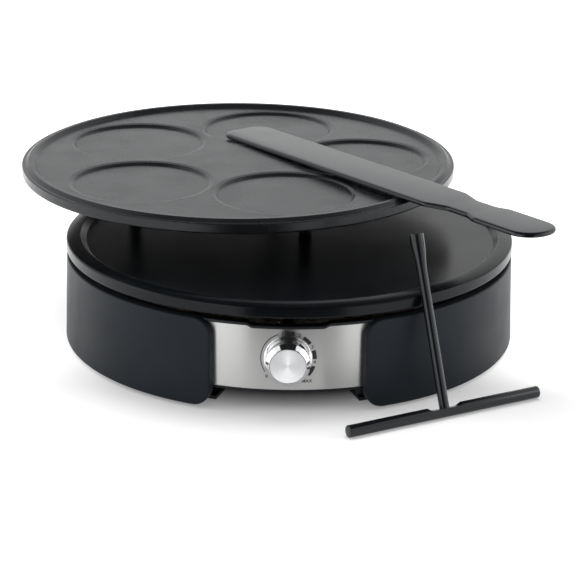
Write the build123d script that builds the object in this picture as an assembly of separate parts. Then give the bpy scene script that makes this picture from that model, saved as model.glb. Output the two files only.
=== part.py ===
from build123d import *
from math import atan, atan2, cos, degrees, hypot, radians, sin, sqrt, tan
import os

# Electric crepe maker with a second, pancake plate, a batter spreader and a spatula.
# Millimetres. +Z is up, -Y is the front with the knob, the origin is on the housing's
# axis at the level of the worktop.

# ---------------------------------------------------------------- clearances
seat_gap = 0.3            # between a lifted-off piece and what it rests on
seam_gap = 0.2            # between neighbouring pieces of the housing
running_gap = 0.05        # radial, round the turning spindle
screw_gap = 0.1           # radial, round screws, stems and tubes in their holes
screw_end_gap = 1.0       # between a screw's end and the bottom of its hole
run_past = 1.0            # by which cutters and joined shapes run past a face
hair = 0.01               # within which two places count as one

# ---------------------------------------------------------------- housing
foot_height = 3.0
housing_radius = 157.3
housing_wall = 3.0
housing_bottom_edge = 1.5
shell_standoff = 8.5      # of the shells' outer face from the drum's wall
shell_wall = 2.5
shell_bottom = 2.0
shell_top = 65.0
shell_corner = 12.0
shell_edge = 1.2
front_gap_half_angle = 18.8
rear_gap_half_angle = 12.0
lip_drop = 2.8            # of the lip's underside under the shells' top
lip_overhang = 3.5
lip_thickness = 2.2
grip_width = 48.0         # finger recess over the panel, at its lower edge
grip_depth = 1.8
grip_slope_run = 5.0
boss_radius = 4.0
boss_web = 3.0

panel_thickness = 0.8
panel_half_angle = 20.2
panel_bottom = 15.6
sill_height = 1.8
sill_depth = 1.2
sill_half_angle = 19.8

cover_thickness = 2.5
vent_count = 16
vent_width = 5.0
vent_inner_radius = 38.0
vent_outer_radius = 66.0
foot_radius = 9.0
foot_inset = 22.3         # of the feet's middles from the drum's inner wall
foot_edge = 0.8
foot_stem_radius = 3.0
foot_stem_length = 6.0
screw_radius = 1.6
screw_head_radius = 3.2
screw_head_height = 2.0
screw_length = 12.0
cover_screw_inset = 8.3   # of the cover's screws from the drum's inner wall
cover_boss_radius = 4.5
cover_boss_height = 18.0
cover_screw_turn = 20.0   # angle of the first cover screw from +X
shell_screw_angles = (-46.0, 0.0, 46.0)
shell_screw_z = 34.0

# ---------------------------------------------------------------- heating tray
tray_floor = 37.0         # upper face of the flat floor
tray_sheet = 0.8
tray_flat_margin = 7.5    # of flat floor outside the pads
tray_flange = 7.3         # from the dish's rim to the drum's inner wall
tray_rim_z = 58.5
ledge_width = 5.0
ledge_thickness = 2.4
pad_radius = 9.5
pad_height = 1.0
post_radius = 6.5

# ---------------------------------------------------------------- heating element
element_tube_radius = 3.25
element_outer_loop = 112.0
element_inner_loop = 56.0
element_opening = 27.0    # half the angle left open between the bends at the rear
element_leg_x = 15.0
element_bend = 9.0
element_leg_bottom = 33.0
pin_radius = 1.6
pin_length = 9.0
bush_radius = 6.2
bush_collar = 1.8
bush_height = 7.0
bracket_thickness = 1.5
bracket_angles = (-38.0, 8.0, 172.0, 218.0)
bracket_overhang = 7.0
bracket_web = 8.0
sensor_radius = 2.6
sensor_length = 52.0
capillary_radius = 1.0
capillary_hole_radius = 2.5
capillary_reach = 12.0    # of the tube's hole from the sensor's end
capillary_bend = 4.0
sensor_post_spread = 15.0

# ---------------------------------------------------------------- thermostat and knob
knob_z = 38.7
knob_radius = 15.3
knob_depth = 12.4
knob_bevel = 2.6
knob_bevel_depth = 3.2
knob_back_edge = 0.4
knob_cap_radius = 12.2
knob_cap_thickness = 0.6
knob_cavity_radius = 10.5
knob_cavity_depth = 4.2
bezel_radius = 16.6
bezel_inner_radius = 9.6
bezel_height = 1.9
bezel_edge = 0.6
knob_standoff = 0.5       # between the bezel and the knob
spindle_radius = 3.0
spindle_flat = 0.8
spindle_in_body = 9.0
spindle_in_knob = 5.5
bush_thread_radius = 4.9
bush_thread_reach = 4.6   # beyond the panel
nut_across_flats = 14.0
nut_thickness = 2.0
thermostat_width = 30.0
thermostat_height = 17.0
thermostat_length = 17.0
thermostat_edge = 2.0

# ---------------------------------------------------------------- cord inlet and wiring
gland_z = 18.0
gland_bore = 3.7
gland_neck_radius = 7.0
gland_flange_radius = 9.5
gland_flange_thickness = 2.5
gland_sleeve_length = 14.0
gland_sleeve_tip_radius = 5.2
gland_inner_length = 8.0
gland_groove_count = 3
gland_groove_width = 1.6
gland_groove_inset = 0.3  # of the grooves' floor under the sleeve's end
clamp_width = 26.0
clamp_depth = 8.0
clamp_height = 5.0
clamp_gap = 4.3           # from the gland to the clamp
clamp_play = 1.0
clamp_leg_radius = 3.5
block_gap = 14.0          # from the clamp to the terminal block
block_width = 34.0
block_depth = 16.0
block_height = 12.0
block_edge = 1.5
block_hole_count = 3
block_hole_radius = 2.2
fuse_radius = 3.2
fuse_length = 18.0
wire_radius = 1.3
wire_height = 12.0        # of the wires over the cover
wire_side = 42.0          # of the long wires to either side of the middle
wire_bend = 5.0
wire_entry = 2.0          # of a wire's end into the terminal block
wire_rise = 8.0           # of a wire's highest stretch over its usual height
wire_swing = 20.0         # from the terminal block to where the wires turn forward
wire_straight = 45.0      # of the long wires, from the housing's middle or the fuse
wire_lead = 14.0          # straight out of the thermostat's back
wire_slant = 36.0         # from the thermostat's back to where its wires start to rise
wire_behind_pins = 16.0
switched_wire_drop = 6.0
switched_wire_shift = 4.0
switched_wire_bend = 3.0

# ---------------------------------------------------------------- plates
plate_overhang = 7.7      # of the plates' edge over the drum's wall
vent_slot = 5.1           # from the housing's lip to the crepe plate's rim
rim_height = 8.7
rim_width = 10.5
rim_edge = 1.5
dish_depth = 3.7
dish_slope = 4.2
dish_floor = 4.5          # thickness under the cooking face
dish_edge = 1.4
rim_foot_edge = 1.2
skirt_edge = 0.6
skirt_width = 7.0
leg_circle = 80.0
leg_radius = 4.6
leg_foot_radius = 5.4
leg_foot_height = 3.0
leg_foot_edge = 1.0
leg_taper = 2.0
leg_flange_radius = 8.0
leg_flange_thickness = 2.0

plate_offset_x = -39.6
plate_offset_y = 65.1
plate_spacing = 36.7      # from one plate's rim to the next one's, when stacked
pancake_edge = 7.5
pancake_rim_edge = 1.0
pancake_foot_edge = 1.3
shoulder_width = 4.0      # of flat rim outside the bead
shoulder_height = 0.8     # of that rim over the plate's face
bead_height = 3.0
bead_crest = 1.0
bead_inner_slope = 3.0
bead_outer_slope = 2.8
bead_crest_edge = 1.2
bead_root_edge = 0.8
pancake_core = 2.0        # the middle is that much deeper than the edge
pancake_core_inset = 15.0
well_count = 5
well_margin = 8.5         # of land between a well and the bead
well_gap = 5.2            # of land between two wells
well_depth = 2.2
well_slope = 3.3
well_floor_edge = 2.4
well_rim_edge = 1.8
well_turn = 5.0
pancake_leg_turn = 70.0

# ---------------------------------------------------------------- spatula
spatula_length = 352.0
spatula_width = 42.0
spatula_thickness = 3.2
spatula_tip_corner = 13.0
blade_length = 248.0
waist_width = 29.0
waist_length = 20.0
waist_slope = 19.0
waist_round = 12.0
handle_width = 36.5
spatula_edge = 1.0
spatula_tip_x = -39.8
spatula_tip_y = 144.8
spatula_heading = -52.6   # of the handle's end, from +X
spatula_land_reach = 31.0  # from the tip to where the blade meets the plate's face

# ---------------------------------------------------------------- batter spreader
bar_radius = 4.2
bar_length = 152.0
bar_heading = 28.6
bar_edge = 0.6
bar_flat_length = 19.5
bar_flat_depth = 2.2
bar_scoop = 4.5           # radius of the hollows at the flat's ends
rod_length = 122.0
rod_radius = 3.5
rod_tip_radius = 4.9
rod_flare_length = 26.0
rod_tenon_radius = 2.2
rod_tenon_length = 5.0
rod_tip_edge = 0.3
rod_lean = 21.0           # from upright
spreader_shift = 14.8     # of the rod along the bar, from abreast of the housing's axis

# ---------------------------------------------------------------- worked-out places
housing_inner = housing_radius - housing_wall
shell_radius = housing_radius + shell_standoff
lip_radius = housing_radius + lip_overhang
foot_circle = housing_inner - foot_inset
cover_screw_circle = housing_inner - cover_screw_inset
tray_rim_radius = housing_inner - tray_flange
tray_flat_radius = leg_circle + pad_radius + tray_flat_margin
clamp_y = housing_inner - gland_inner_length - clamp_gap - clamp_depth / 2
block_y = clamp_y - clamp_depth / 2 - block_gap - block_depth / 2
plate_radius = housing_radius + plate_overhang
front_gap_half = shell_radius * sin(radians(front_gap_half_angle))
lip_bottom = shell_top - lip_drop
lip_top = lip_bottom + lip_thickness
rim_bottom = lip_top + vent_slot
rim_top = rim_bottom + rim_height
cooking_face = rim_top - dish_depth
crepe_underside = cooking_face - dish_floor
shoulder_top = rim_top + plate_spacing
pancake_land = shoulder_top - shoulder_height
pancake_top = pancake_land + bead_height
pancake_edge_bottom = shoulder_top - pancake_edge
pancake_underside = pancake_edge_bottom - pancake_core
pancake_core_radius = plate_radius - pancake_core_inset
bead_outer = plate_radius - shoulder_width
crest_outer = bead_outer - bead_outer_slope
crest_inner = crest_outer - bead_crest
land_radius = crest_inner - bead_inner_slope
well_share = sin(radians(180 / well_count))
well_radius = (land_radius - well_margin - well_gap / (2 * well_share)) / (1 + 1 / well_share)
well_circle = land_radius - well_margin - well_radius
cover_bottom = foot_height
cover_top = cover_bottom + cover_thickness
tray_underside = tray_floor - tray_sheet
pad_top = tray_floor + pad_height
element_z = crepe_underside - seat_gap - element_tube_radius
panel_inner = housing_radius + seam_gap
panel_outer = panel_inner + panel_thickness
panel_top = lip_bottom - seam_gap
bezel_face = panel_outer + bezel_height
knob_back = bezel_face + knob_standoff
knob_face = knob_back + knob_depth
thermostat_front = sqrt(housing_inner ** 2 - (thermostat_width / 2) ** 2) - seam_gap
leg_angles = tuple(-90.0 + 120.0 * i for i in range(3))


# ---------------------------------------------------------------- helpers
def polar(radius, angle):
    """The point at this radius and angle round the housing's axis."""
    return radius * cos(radians(angle)), radius * sin(radians(angle))


def post(radius, bottom, top, x=0.0, y=0.0):
    """An upright cylinder between two heights."""
    return Pos(x, y, (bottom + top) / 2) * Cylinder(radius, top - bottom)


def ring(inner, outer, bottom, top):
    """An upright tube between two heights."""
    return post(outer, bottom, top) - post(inner, bottom - run_past, top + run_past)


def turned(points):
    """A body turned about Z from its half section, given as (radius, height) points."""
    outline = Polyline(*points, close=True)
    return revolve(Plane.XZ * make_face(outline), Axis.Z)


def radial_rod(radius, start, end, angle, z):
    """A round rod that points straight out from the housing's axis."""
    rod = Pos(0, 0, (start + end) / 2) * Cylinder(radius, end - start)
    return Pos(0, 0, z) * Rot(0, 0, angle) * Rot(0, 90, 0) * rod


def front_rod(radius, start, end, x=0.0, z=0.0):
    """A round rod along Y between two distances in front of the housing's axis."""
    return Pos(x, -(start + end) / 2, z) * Rot(90, 0, 0) * Cylinder(radius, end - start)


def front_slab(half_width, bottom, top):
    """A block over the whole front half of the housing, between two heights."""
    return Pos(0, -shell_radius, (bottom + top) / 2) * Box(2 * half_width, 2 * shell_radius, top - bottom)


def tube_along(path, radius):
    """A round rod swept along a wire."""
    section = Plane(origin=path @ 0, z_dir=path % 0) * Circle(radius)
    return sweep(section, path=path)


def on_side(section, side):
    """Copies a section from the right side to the left one where side is -1."""
    return section if side > 0 else mirror(section, about=Plane.YZ)


# ---------------------------------------------------------------- housing
def grip_block(rise):
    """The finger recess as a block through the drum's front, its upper face raised by the rise."""
    low = lip_bottom - grip_depth
    half = grip_width / 2
    spread = half + grip_slope_run * (grip_depth + rise) / grip_depth
    high = low + grip_depth + rise
    outline = make_face(Polyline((-half, low), (half, low), (spread, high), (-spread, high), close=True))
    reach = 2 * (lip_radius - housing_inner)
    return extrude(Plane.XZ.offset(housing_inner) * outline, amount=reach, both=True)


def lip_half_width():
    """Half of the lip's width, up to the shells' rounded upper corners."""
    over_middle = shell_corner - lip_drop
    return front_gap_half + shell_corner - sqrt(shell_corner ** 2 - over_middle ** 2) - seam_gap


def inner_housing():
    """The black drum: wall, front lip with its finger recess, tray ledge, sill and screw bosses."""
    ledge_top = tray_rim_z - tray_sheet
    ledge_inner = housing_inner - ledge_width
    wall = turned([
        (housing_inner, cover_bottom), (housing_radius - housing_bottom_edge, cover_bottom),
        (housing_radius, cover_bottom + housing_bottom_edge), (housing_radius, lip_top),
        (housing_inner, lip_top),
        (housing_inner, ledge_top), (ledge_inner, ledge_top),
        (ledge_inner, ledge_top - ledge_thickness),
        (housing_inner, ledge_top - ledge_thickness - ledge_width),
    ])
    lip = ring(housing_radius - run_past, lip_radius, lip_bottom, lip_top)
    wall += lip & front_slab(lip_half_width(), lip_bottom, lip_top)
    recess = Pos(0, 0, lip_thickness) * grip_block(2 * lip_thickness)
    lowered_lip = grip_block(0) - recess
    lowered_lip &= ring(housing_inner, lip_radius, 0, lip_top)
    body = wall - recess + lowered_lip
    sill_bottom = panel_bottom - sill_height
    sill_top = panel_bottom - seam_gap
    sill = ring(housing_radius - run_past, housing_radius + sill_depth, sill_bottom, sill_top)
    body += sill & front_slab(housing_radius * sin(radians(sill_half_angle)), sill_bottom, sill_top)
    for i in range(4):
        angle = cover_screw_turn + 90 * i
        x, y = polar(cover_screw_circle, angle)
        bottom = cover_top + seam_gap
        top = cover_top + cover_boss_height
        web = Pos(0, 0, (bottom + top) / 2) * Rot(0, 0, angle)
        web *= Pos((cover_screw_circle + housing_inner + run_past) / 2, 0, 0)
        body += web * Box(housing_inner + run_past - cover_screw_circle, boss_web, top - bottom)
        body += post(cover_boss_radius, bottom, top, x, y)
        hole_top = cover_bottom + screw_length + screw_end_gap
        body -= post(screw_radius + screw_gap, bottom - run_past, hole_top, x, y)
    inside = housing_inner - run_past
    outside = housing_radius + run_past
    for angle in all_shell_screw_angles():
        body -= radial_rod(screw_radius + screw_gap, inside, outside, angle, shell_screw_z)
    body -= front_rod(bush_thread_radius + screw_gap, inside, outside, z=knob_z)
    body -= radial_rod(gland_neck_radius + screw_gap, inside, outside, 90, gland_z)
    return body


def all_shell_screw_angles():
    """Angles of the screws that hold both side shells."""
    return list(shell_screw_angles) + [180 - angle for angle in shell_screw_angles]


def shell_window(half_angle, inset, front):
    """Front view of one side shell's end, drawn in by the inset, as a long prism."""
    start = shell_radius * sin(radians(half_angle)) + inset
    height = shell_top - shell_bottom - 2 * inset
    length = 2 * shell_radius - start
    outline = Pos(start + length / 2, (shell_top + shell_bottom) / 2)
    outline *= RectangleRounded(length, height, shell_corner - inset)
    depth = 2 * shell_radius
    return extrude(Plane.XZ * outline, amount=depth if front else -depth)


def shell_space(inner, outer, inset):
    """The right shell's space between two radii, drawn in from its edges by the inset."""
    body = ring(inner, outer, shell_bottom + inset, shell_top - inset)
    both = shell_window(front_gap_half_angle, inset, True)
    both += shell_window(rear_gap_half_angle, inset, False)
    return body & both


def on_outside(edge):
    """Whether an edge lies wholly on the shells' outer face."""
    spots = [edge @ t for t in (0.1, 0.5, 0.9)]
    return all(hypot(p.X, p.Y) > shell_radius - hair for p in spots)


def side_shell(side):
    """One C-shaped moulded side shell with returns round all of its edges."""
    inner = panel_outer + seam_gap
    body = shell_space(inner, shell_radius, 0)
    rim = [e for e in body.edges() if on_outside(e) and abs((e @ 0.5).Y) > hair]
    body = fillet(rim, shell_edge)
    skin = shell_radius - shell_wall
    body -= shell_space(inner - shell_wall, skin, shell_wall)
    for angle in shell_screw_angles:
        body += radial_rod(boss_radius, housing_radius + seam_gap, skin + run_past, angle, shell_screw_z)
        body -= radial_rod(screw_radius + screw_gap, housing_radius - run_past, skin, angle, shell_screw_z)
    return on_side(body, side)


def shell_screws():
    """Six screws driven outwards through the drum into the shells' bosses."""
    screws = []
    for angle in all_shell_screw_angles():
        head_base = housing_inner - seam_gap
        end = shell_radius - shell_wall - screw_end_gap
        shank = radial_rod(screw_radius, head_base - run_past, end, angle, shell_screw_z)
        head = radial_rod(screw_head_radius, head_base - screw_head_height, head_base, angle, shell_screw_z)
        screws.append(shank + head)
    return Compound(children=screws)


def front_panel():
    """The curved steel panel, notched under the finger recess and holed for the thermostat."""
    body = ring(panel_inner, panel_outer, panel_bottom, panel_top)
    body &= front_slab(panel_outer * sin(radians(panel_half_angle)), panel_bottom, panel_top)
    body -= Pos(0, 0, -seam_gap) * grip_block(2 * lip_thickness)
    hole = bush_thread_radius + screw_gap
    body -= front_rod(hole, panel_inner - run_past, panel_outer + run_past, z=knob_z)
    return body


def bottom_cover():
    """The flat base disc with cooling slots, and the posts that carry the tray."""
    body = post(housing_inner - seam_gap, cover_bottom, cover_top)
    slot_length = vent_outer_radius - vent_inner_radius
    slot = Pos((vent_outer_radius + vent_inner_radius) / 2, 0, cover_bottom)
    slot *= extrude(SlotOverall(slot_length, vent_width), amount=3 * cover_thickness, both=True)
    for i in range(vent_count):
        body -= Rot(0, 0, 360 / vent_count * (i + 0.5)) * slot
    for angle in leg_angles:
        x, y = polar(leg_circle, angle)
        body += post(post_radius, cover_top - run_past, tray_underside - seam_gap, x, y)
    for i in range(4):
        x, y = polar(cover_screw_circle, cover_screw_turn + 90 * i)
        body -= post(screw_radius + screw_gap, 0, cover_top + run_past, x, y)
        body -= post(screw_head_radius + screw_gap, 0, cover_bottom + screw_head_height / 2, x, y)
        x, y = polar(foot_circle, 45 + 90 * i)
        body -= post(foot_stem_radius + screw_gap, 0, cover_top + run_past, x, y)
    return body


def rubber_feet():
    """Four feet, each with a stem pushed into the cover."""
    foot = turned([
        (0, 0), (foot_radius - foot_edge, 0), (foot_radius, foot_edge),
        (foot_radius - foot_edge, foot_height),
        (foot_stem_radius, foot_height), (foot_stem_radius, foot_height + foot_stem_length),
        (0, foot_height + foot_stem_length),
    ])
    return Compound(children=[Pos(*polar(foot_circle, 45 + 90 * i)) * foot for i in range(4)])


def bottom_screws():
    """Four screws that hold the cover to the drum."""
    head_top = cover_bottom + screw_head_height / 2
    head_bottom = head_top - screw_head_height / 2
    screws = []
    for i in range(4):
        x, y = polar(cover_screw_circle, cover_screw_turn + 90 * i)
        head = post(screw_head_radius, head_bottom, head_top, x, y)
        shank = post(screw_radius, head_bottom, cover_bottom + screw_length, x, y)
        screws.append(head + shank)
    return Compound(children=screws)


# ---------------------------------------------------------------- tray and heating element
def tray_height(radius):
    """Height of the tray's upper face at a radius."""
    if radius <= tray_flat_radius:
        return tray_floor
    rise = (tray_rim_z - tray_floor) / (tray_rim_radius - tray_flat_radius)
    return tray_floor + (radius - tray_flat_radius) * rise


def capillary_hole():
    """Where the sensor's thin tube goes down through the tray."""
    return sensor_length / 2 + capillary_reach, 0.0


def element_leg_y():
    """Where the element's ends turn down, on the outer loop."""
    return -sqrt(element_outer_loop ** 2 - element_leg_x ** 2)


def reflector_tray():
    """The dished steel tray under the element."""
    flange = housing_inner - seam_gap
    body = turned([
        (0, tray_underside), (tray_flat_radius, tray_underside),
        (tray_rim_radius, tray_rim_z - tray_sheet), (flange, tray_rim_z - tray_sheet), (flange, tray_rim_z),
        (tray_rim_radius, tray_rim_z), (tray_flat_radius, tray_floor), (0, tray_floor),
    ])
    for x in (-element_leg_x, element_leg_x):
        body -= post(bush_radius + screw_gap, 0, element_z, x, element_leg_y())
    x, y = capillary_hole()
    body -= post(capillary_hole_radius, 0, element_z, x, y)
    return body


def leg_pads():
    """Three pads on the tray, over the posts, that the plate's legs stand on."""
    pads = [post(pad_radius, tray_floor, pad_top, *polar(leg_circle, angle)) for angle in leg_angles]
    return Compound(children=pads)


def element_path():
    """Half of the element's centre line: up, round the outer loop, back along the inner one."""
    middle = (element_outer_loop + element_inner_loop) / 2
    bend = (element_outer_loop - element_inner_loop) / 2
    turn = 90 + element_opening
    leg_y = element_leg_y()
    start_angle = degrees(atan2(leg_y, -element_leg_x)) + 360
    heading = Vector(-sin(radians(start_angle)), cos(radians(start_angle)), 0) * -1
    corner = Vector(-element_leg_x, leg_y, element_z)
    rise = Line(Vector(-element_leg_x, leg_y, element_leg_bottom), corner - Vector(0, 0, element_bend))
    elbow_end_angle = start_angle - degrees(element_bend / element_outer_loop)
    elbow_end = Vector(*polar(element_outer_loop, elbow_end_angle), element_z)
    elbow = TangentArc(rise @ 1, elbow_end, tangent=Vector(0, 0, 1))
    outer_mid = Vector(*polar(element_outer_loop, (elbow_end_angle + turn) / 2), element_z)
    outer_end = Vector(*polar(element_outer_loop, turn), element_z)
    outer = ThreePointArc(elbow_end, outer_mid, outer_end)
    along = Vector(sin(radians(turn)), -cos(radians(turn)), 0)
    bend_mid = Vector(*polar(middle, turn), element_z) + along * bend
    inner_start = Vector(*polar(element_inner_loop, turn), element_z)
    back = ThreePointArc(outer_end, bend_mid, inner_start)
    inner_mid = Vector(*polar(element_inner_loop, (turn + 270) / 2), element_z)
    inner_end = Vector(0, -element_inner_loop, element_z)
    inner = ThreePointArc(inner_start, inner_mid, inner_end)
    return Wire([rise, elbow, outer, back, inner])


def heating_element():
    """The tubular element: an outer and an inner loop joined by two bends at the rear."""
    half = tube_along(element_path(), element_tube_radius)
    return half + mirror(half, about=Plane.YZ)


def element_pins():
    """The two terminal pins under the element's ends."""
    pins = []
    for x in (-element_leg_x, element_leg_x):
        bottom = element_leg_bottom - pin_length
        pins.append(post(pin_radius, bottom, element_leg_bottom, x, element_leg_y()))
    return Compound(children=pins)


def element_bushes():
    """Ceramic bushes round the element's ends where they pass through the tray."""
    seat = tray_height(element_outer_loop + bush_radius + bush_collar) + seam_gap
    bushes = []
    for x in (-element_leg_x, element_leg_x):
        bush = post(bush_radius, seat - bush_height, seat, x, element_leg_y())
        bush += post(bush_radius + bush_collar, seat, seat + bush_collar, x, element_leg_y())
        bush -= post(element_tube_radius + screw_gap, 0, element_z, x, element_leg_y())
        bushes.append(bush)
    return Compound(children=bushes)


def element_bracket():
    """One upright sheet bracket with a saddle for each loop, in the XZ plane."""
    inner = element_inner_loop - bracket_overhang
    outer = element_outer_loop + bracket_overhang
    foot = tray_floor
    arm = element_z - bracket_web
    sheet = make_face(Polyline(
        (inner + bracket_web, foot), (tray_flat_radius - bracket_web, foot), (outer, arm),
        (outer, element_z), (inner, element_z), (inner, arm), close=True))
    for loop in (element_inner_loop, element_outer_loop):
        sheet -= Pos(loop, element_z) * Circle(element_tube_radius + screw_gap)
    window_low = foot + bracket_web
    window = make_face(Polyline(
        (inner + 2 * bracket_web, window_low), (tray_flat_radius - 2 * bracket_web, window_low),
        (tray_flat_radius - bracket_web, arm), (inner + 2 * bracket_web, arm), close=True))
    return extrude(Plane.XZ * (sheet - window), amount=bracket_thickness / 2, both=True)


def element_brackets():
    """The element's brackets, standing on the tray's flat floor."""
    return Compound(children=[Rot(0, 0, angle) * element_bracket() for angle in bracket_angles])


def sensor_z():
    """Height of the sensor's axis, close under the crepe plate."""
    return crepe_underside - seat_gap - sensor_radius


def temperature_sensor():
    """The thermostat's bulb under the middle of the plate, with its thin tube."""
    z = sensor_z()
    bulb = Pos(0, 0, z) * Rot(0, 90, 0) * Cylinder(sensor_radius, sensor_length)
    down_x, down_y = capillary_hole()
    low = cover_top + wire_height * 2
    back = thermostat_length - thermostat_front
    side = thermostat_width / 4
    path = FilletPolyline(
        (sensor_length / 2 - run_past, 0, z), (down_x, down_y, z), (down_x, down_y, low),
        (down_x, element_leg_y() + wire_behind_pins, low), (side, back + wire_lead, low),
        (side, back + wire_lead, knob_z), (side, back, knob_z), radius=capillary_bend)
    return bulb + tube_along(path, capillary_radius)


def sensor_posts():
    """Two sheet posts with a saddle that hold the sensor's bulb."""
    z = sensor_z()
    sheet = Pos(0, (tray_floor + z) / 2) * Rectangle(4 * sensor_radius, z - tray_floor)
    sheet -= Pos(0, z) * Circle(sensor_radius + screw_gap)
    posts = []
    for x in (-sensor_post_spread, sensor_post_spread):
        upright = extrude(Plane.YZ.offset(x) * sheet, amount=bracket_thickness / 2, both=True)
        posts.append(upright)
    return Compound(children=posts)


# ---------------------------------------------------------------- thermostat and knob
def thermostat():
    """The thermostat's block and threaded bush, bored for its spindle."""
    length = thermostat_length
    block = Pos(0, -thermostat_front + length / 2, knob_z)
    block *= Box(thermostat_width, length, thermostat_height)
    block = fillet(block.edges().filter_by(Axis.Y), thermostat_edge)
    bush_end = panel_outer + bush_thread_reach
    block += front_rod(bush_thread_radius, thermostat_front - run_past, bush_end, z=knob_z)
    bore_start = thermostat_front - spindle_in_body - screw_end_gap
    block -= front_rod(spindle_radius + running_gap, bore_start, bush_end + run_past, z=knob_z)
    return block


def thermostat_nut():
    """The flat nut that clamps the thermostat to the panel."""
    back = panel_outer + seam_gap
    nut = RegularPolygon(nut_across_flats / 2, 6, major_radius=False)
    nut -= Circle(bush_thread_radius + screw_gap)
    return Pos(0, -back, knob_z) * extrude(Plane.XZ * nut, amount=nut_thickness)


def knob_bezel():
    """The trim ring on the panel round the knob, cut to the panel's curve."""
    back = panel_inner - bezel_height
    body = front_rod(bezel_radius, back, bezel_face, z=knob_z)
    body -= front_rod(bezel_inner_radius, back - run_past, bezel_face + run_past, z=knob_z)
    front = body.faces().sort_by(Axis.Y)[0]
    body = chamfer(front.edges().sort_by(SortBy.LENGTH)[-1], bezel_edge)
    return body - post(panel_outer + seam_gap / 4, 0, shell_top)


def spindle():
    """The turning spindle with its flat, from inside the thermostat into the knob."""
    start = thermostat_front - spindle_in_body
    end = knob_back + knob_cavity_depth + spindle_in_knob
    body = front_rod(spindle_radius, start, end, z=knob_z)
    flat_start = panel_outer + bush_thread_reach
    flat = Pos(0, -(flat_start + end + run_past) / 2, knob_z - 2 * spindle_radius + spindle_flat)
    return body - flat * Box(4 * spindle_radius, end + run_past - flat_start, 2 * spindle_radius)


def knob():
    """The chromed control knob with a broad bevel, a seat for its cap and a D-shaped bore."""
    face = knob_face
    bore = spindle_radius + screw_gap / 4
    cavity = knob_back + knob_cavity_depth
    bore_end = cavity + spindle_in_knob + screw_gap
    cap_seat = face - knob_cap_thickness - seam_gap / 4
    outline = Polyline(
        (knob_cavity_radius, knob_back), (knob_radius - knob_back_edge, knob_back),
        (knob_radius, knob_back + knob_back_edge),
        (knob_radius, face - knob_bevel_depth), (knob_radius - knob_bevel, face),
        (knob_cap_radius + screw_gap / 4, face), (knob_cap_radius + screw_gap / 4, cap_seat),
        (0, cap_seat), (0, bore_end), (bore, bore_end), (bore, cavity), (knob_cavity_radius, cavity),
        close=True)
    body = revolve(Plane.XZ * make_face(outline), Axis.Z)
    body = Pos(0, 0, knob_z) * Rot(90, 0, 0) * body
    key = front_rod(bore + run_past, cavity, bore_end, z=knob_z)
    flat = Pos(0, -(cavity + bore_end) / 2, knob_z - 2 * spindle_radius + spindle_flat - screw_gap)
    key &= flat * Box(4 * spindle_radius, bore_end - cavity, 2 * spindle_radius)
    return body + key


def knob_cap():
    """The spun metal disc let into the knob's face."""
    return front_rod(knob_cap_radius, knob_face - knob_cap_thickness, knob_face, z=knob_z)


# ---------------------------------------------------------------- cord inlet and wiring
def cord_gland():
    """The rubber strain relief in the drum's rear wall, bored for the cord."""
    flange_back = housing_radius + seam_gap
    flange = flange_back + gland_flange_thickness
    tip = flange + gland_sleeve_length
    start = housing_inner - gland_inner_length
    outline = Polyline(
        (gland_bore, start), (gland_neck_radius, start),
        (gland_neck_radius, flange_back), (gland_flange_radius, flange_back), (gland_flange_radius, flange),
        (gland_neck_radius, flange), (gland_sleeve_tip_radius, tip), (gland_bore, tip), close=True)
    body = revolve(Plane.XZ * make_face(outline), Axis.Z)
    groove_floor = gland_sleeve_tip_radius - gland_groove_inset
    for i in range(gland_groove_count):
        middle = flange + gland_sleeve_length * (i + 1) / (gland_groove_count + 1)
        half = gland_groove_width / 2
        body -= ring(groove_floor, gland_neck_radius + run_past, middle - half, middle + half)
    return Pos(0, 0, gland_z) * Rot(-90, 0, 0) * body


def cord_clamp():
    """The saddle behind the gland that grips the cord, with its two screw towers."""
    bottom = gland_z + gland_bore
    bar = Pos(0, clamp_y, bottom + clamp_height / 2) * Box(clamp_width, clamp_depth, clamp_height)
    saddle = Cylinder(gland_bore + clamp_play, clamp_depth + run_past)
    bar -= Pos(0, clamp_y, gland_z) * Rot(90, 0, 0) * saddle
    for x in (-1, 1):
        leg_x = x * (clamp_width / 2 - clamp_depth / 2)
        bar += post(clamp_leg_radius, cover_top, bottom + run_past, leg_x, clamp_y)
    return bar


def block_hole_pitch():
    """Distance between the terminal block's holes."""
    return block_width / block_hole_count


def terminal_block():
    """The ceramic block where the cord's conductors are joined."""
    body = Pos(0, block_y, cover_top + block_height / 2) * Box(block_width, block_depth, block_height)
    body = fillet(body.edges().filter_by(Axis.Z), block_edge)
    top = cover_top + block_height
    for i in range(block_hole_count):
        x = (i - (block_hole_count - 1) / 2) * block_hole_pitch()
        body -= post(block_hole_radius, top - block_height / 2, top + run_past, x, block_y)
    return body


def fuse_place():
    """Middle of the thermal fuse, on the live wire."""
    return Vector(-wire_side, 0, cover_top + wire_height)


def thermal_fuse():
    """The thermal fuse in the live wire."""
    place = fuse_place()
    return Pos(place) * Rot(90, 0, 0) * Cylinder(fuse_radius, fuse_length)


def wire_run(points):
    """An insulated wire through these points, with rounded bends."""
    return tube_along(FilletPolyline(*points, radius=wire_bend), wire_radius)


def live_wire_rear():
    """From the terminal block to the thermal fuse."""
    z = cover_top + wire_height
    place = fuse_place()
    top = cover_top + block_height
    return wire_run([
        (-block_hole_pitch(), block_y, top - wire_entry), (-block_hole_pitch(), block_y, top + wire_rise),
        (-wire_side, block_y - wire_swing, z + wire_rise), (-wire_side, place.Y + fuse_length, z),
        (-wire_side, place.Y + fuse_length / 2, z)])


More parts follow.
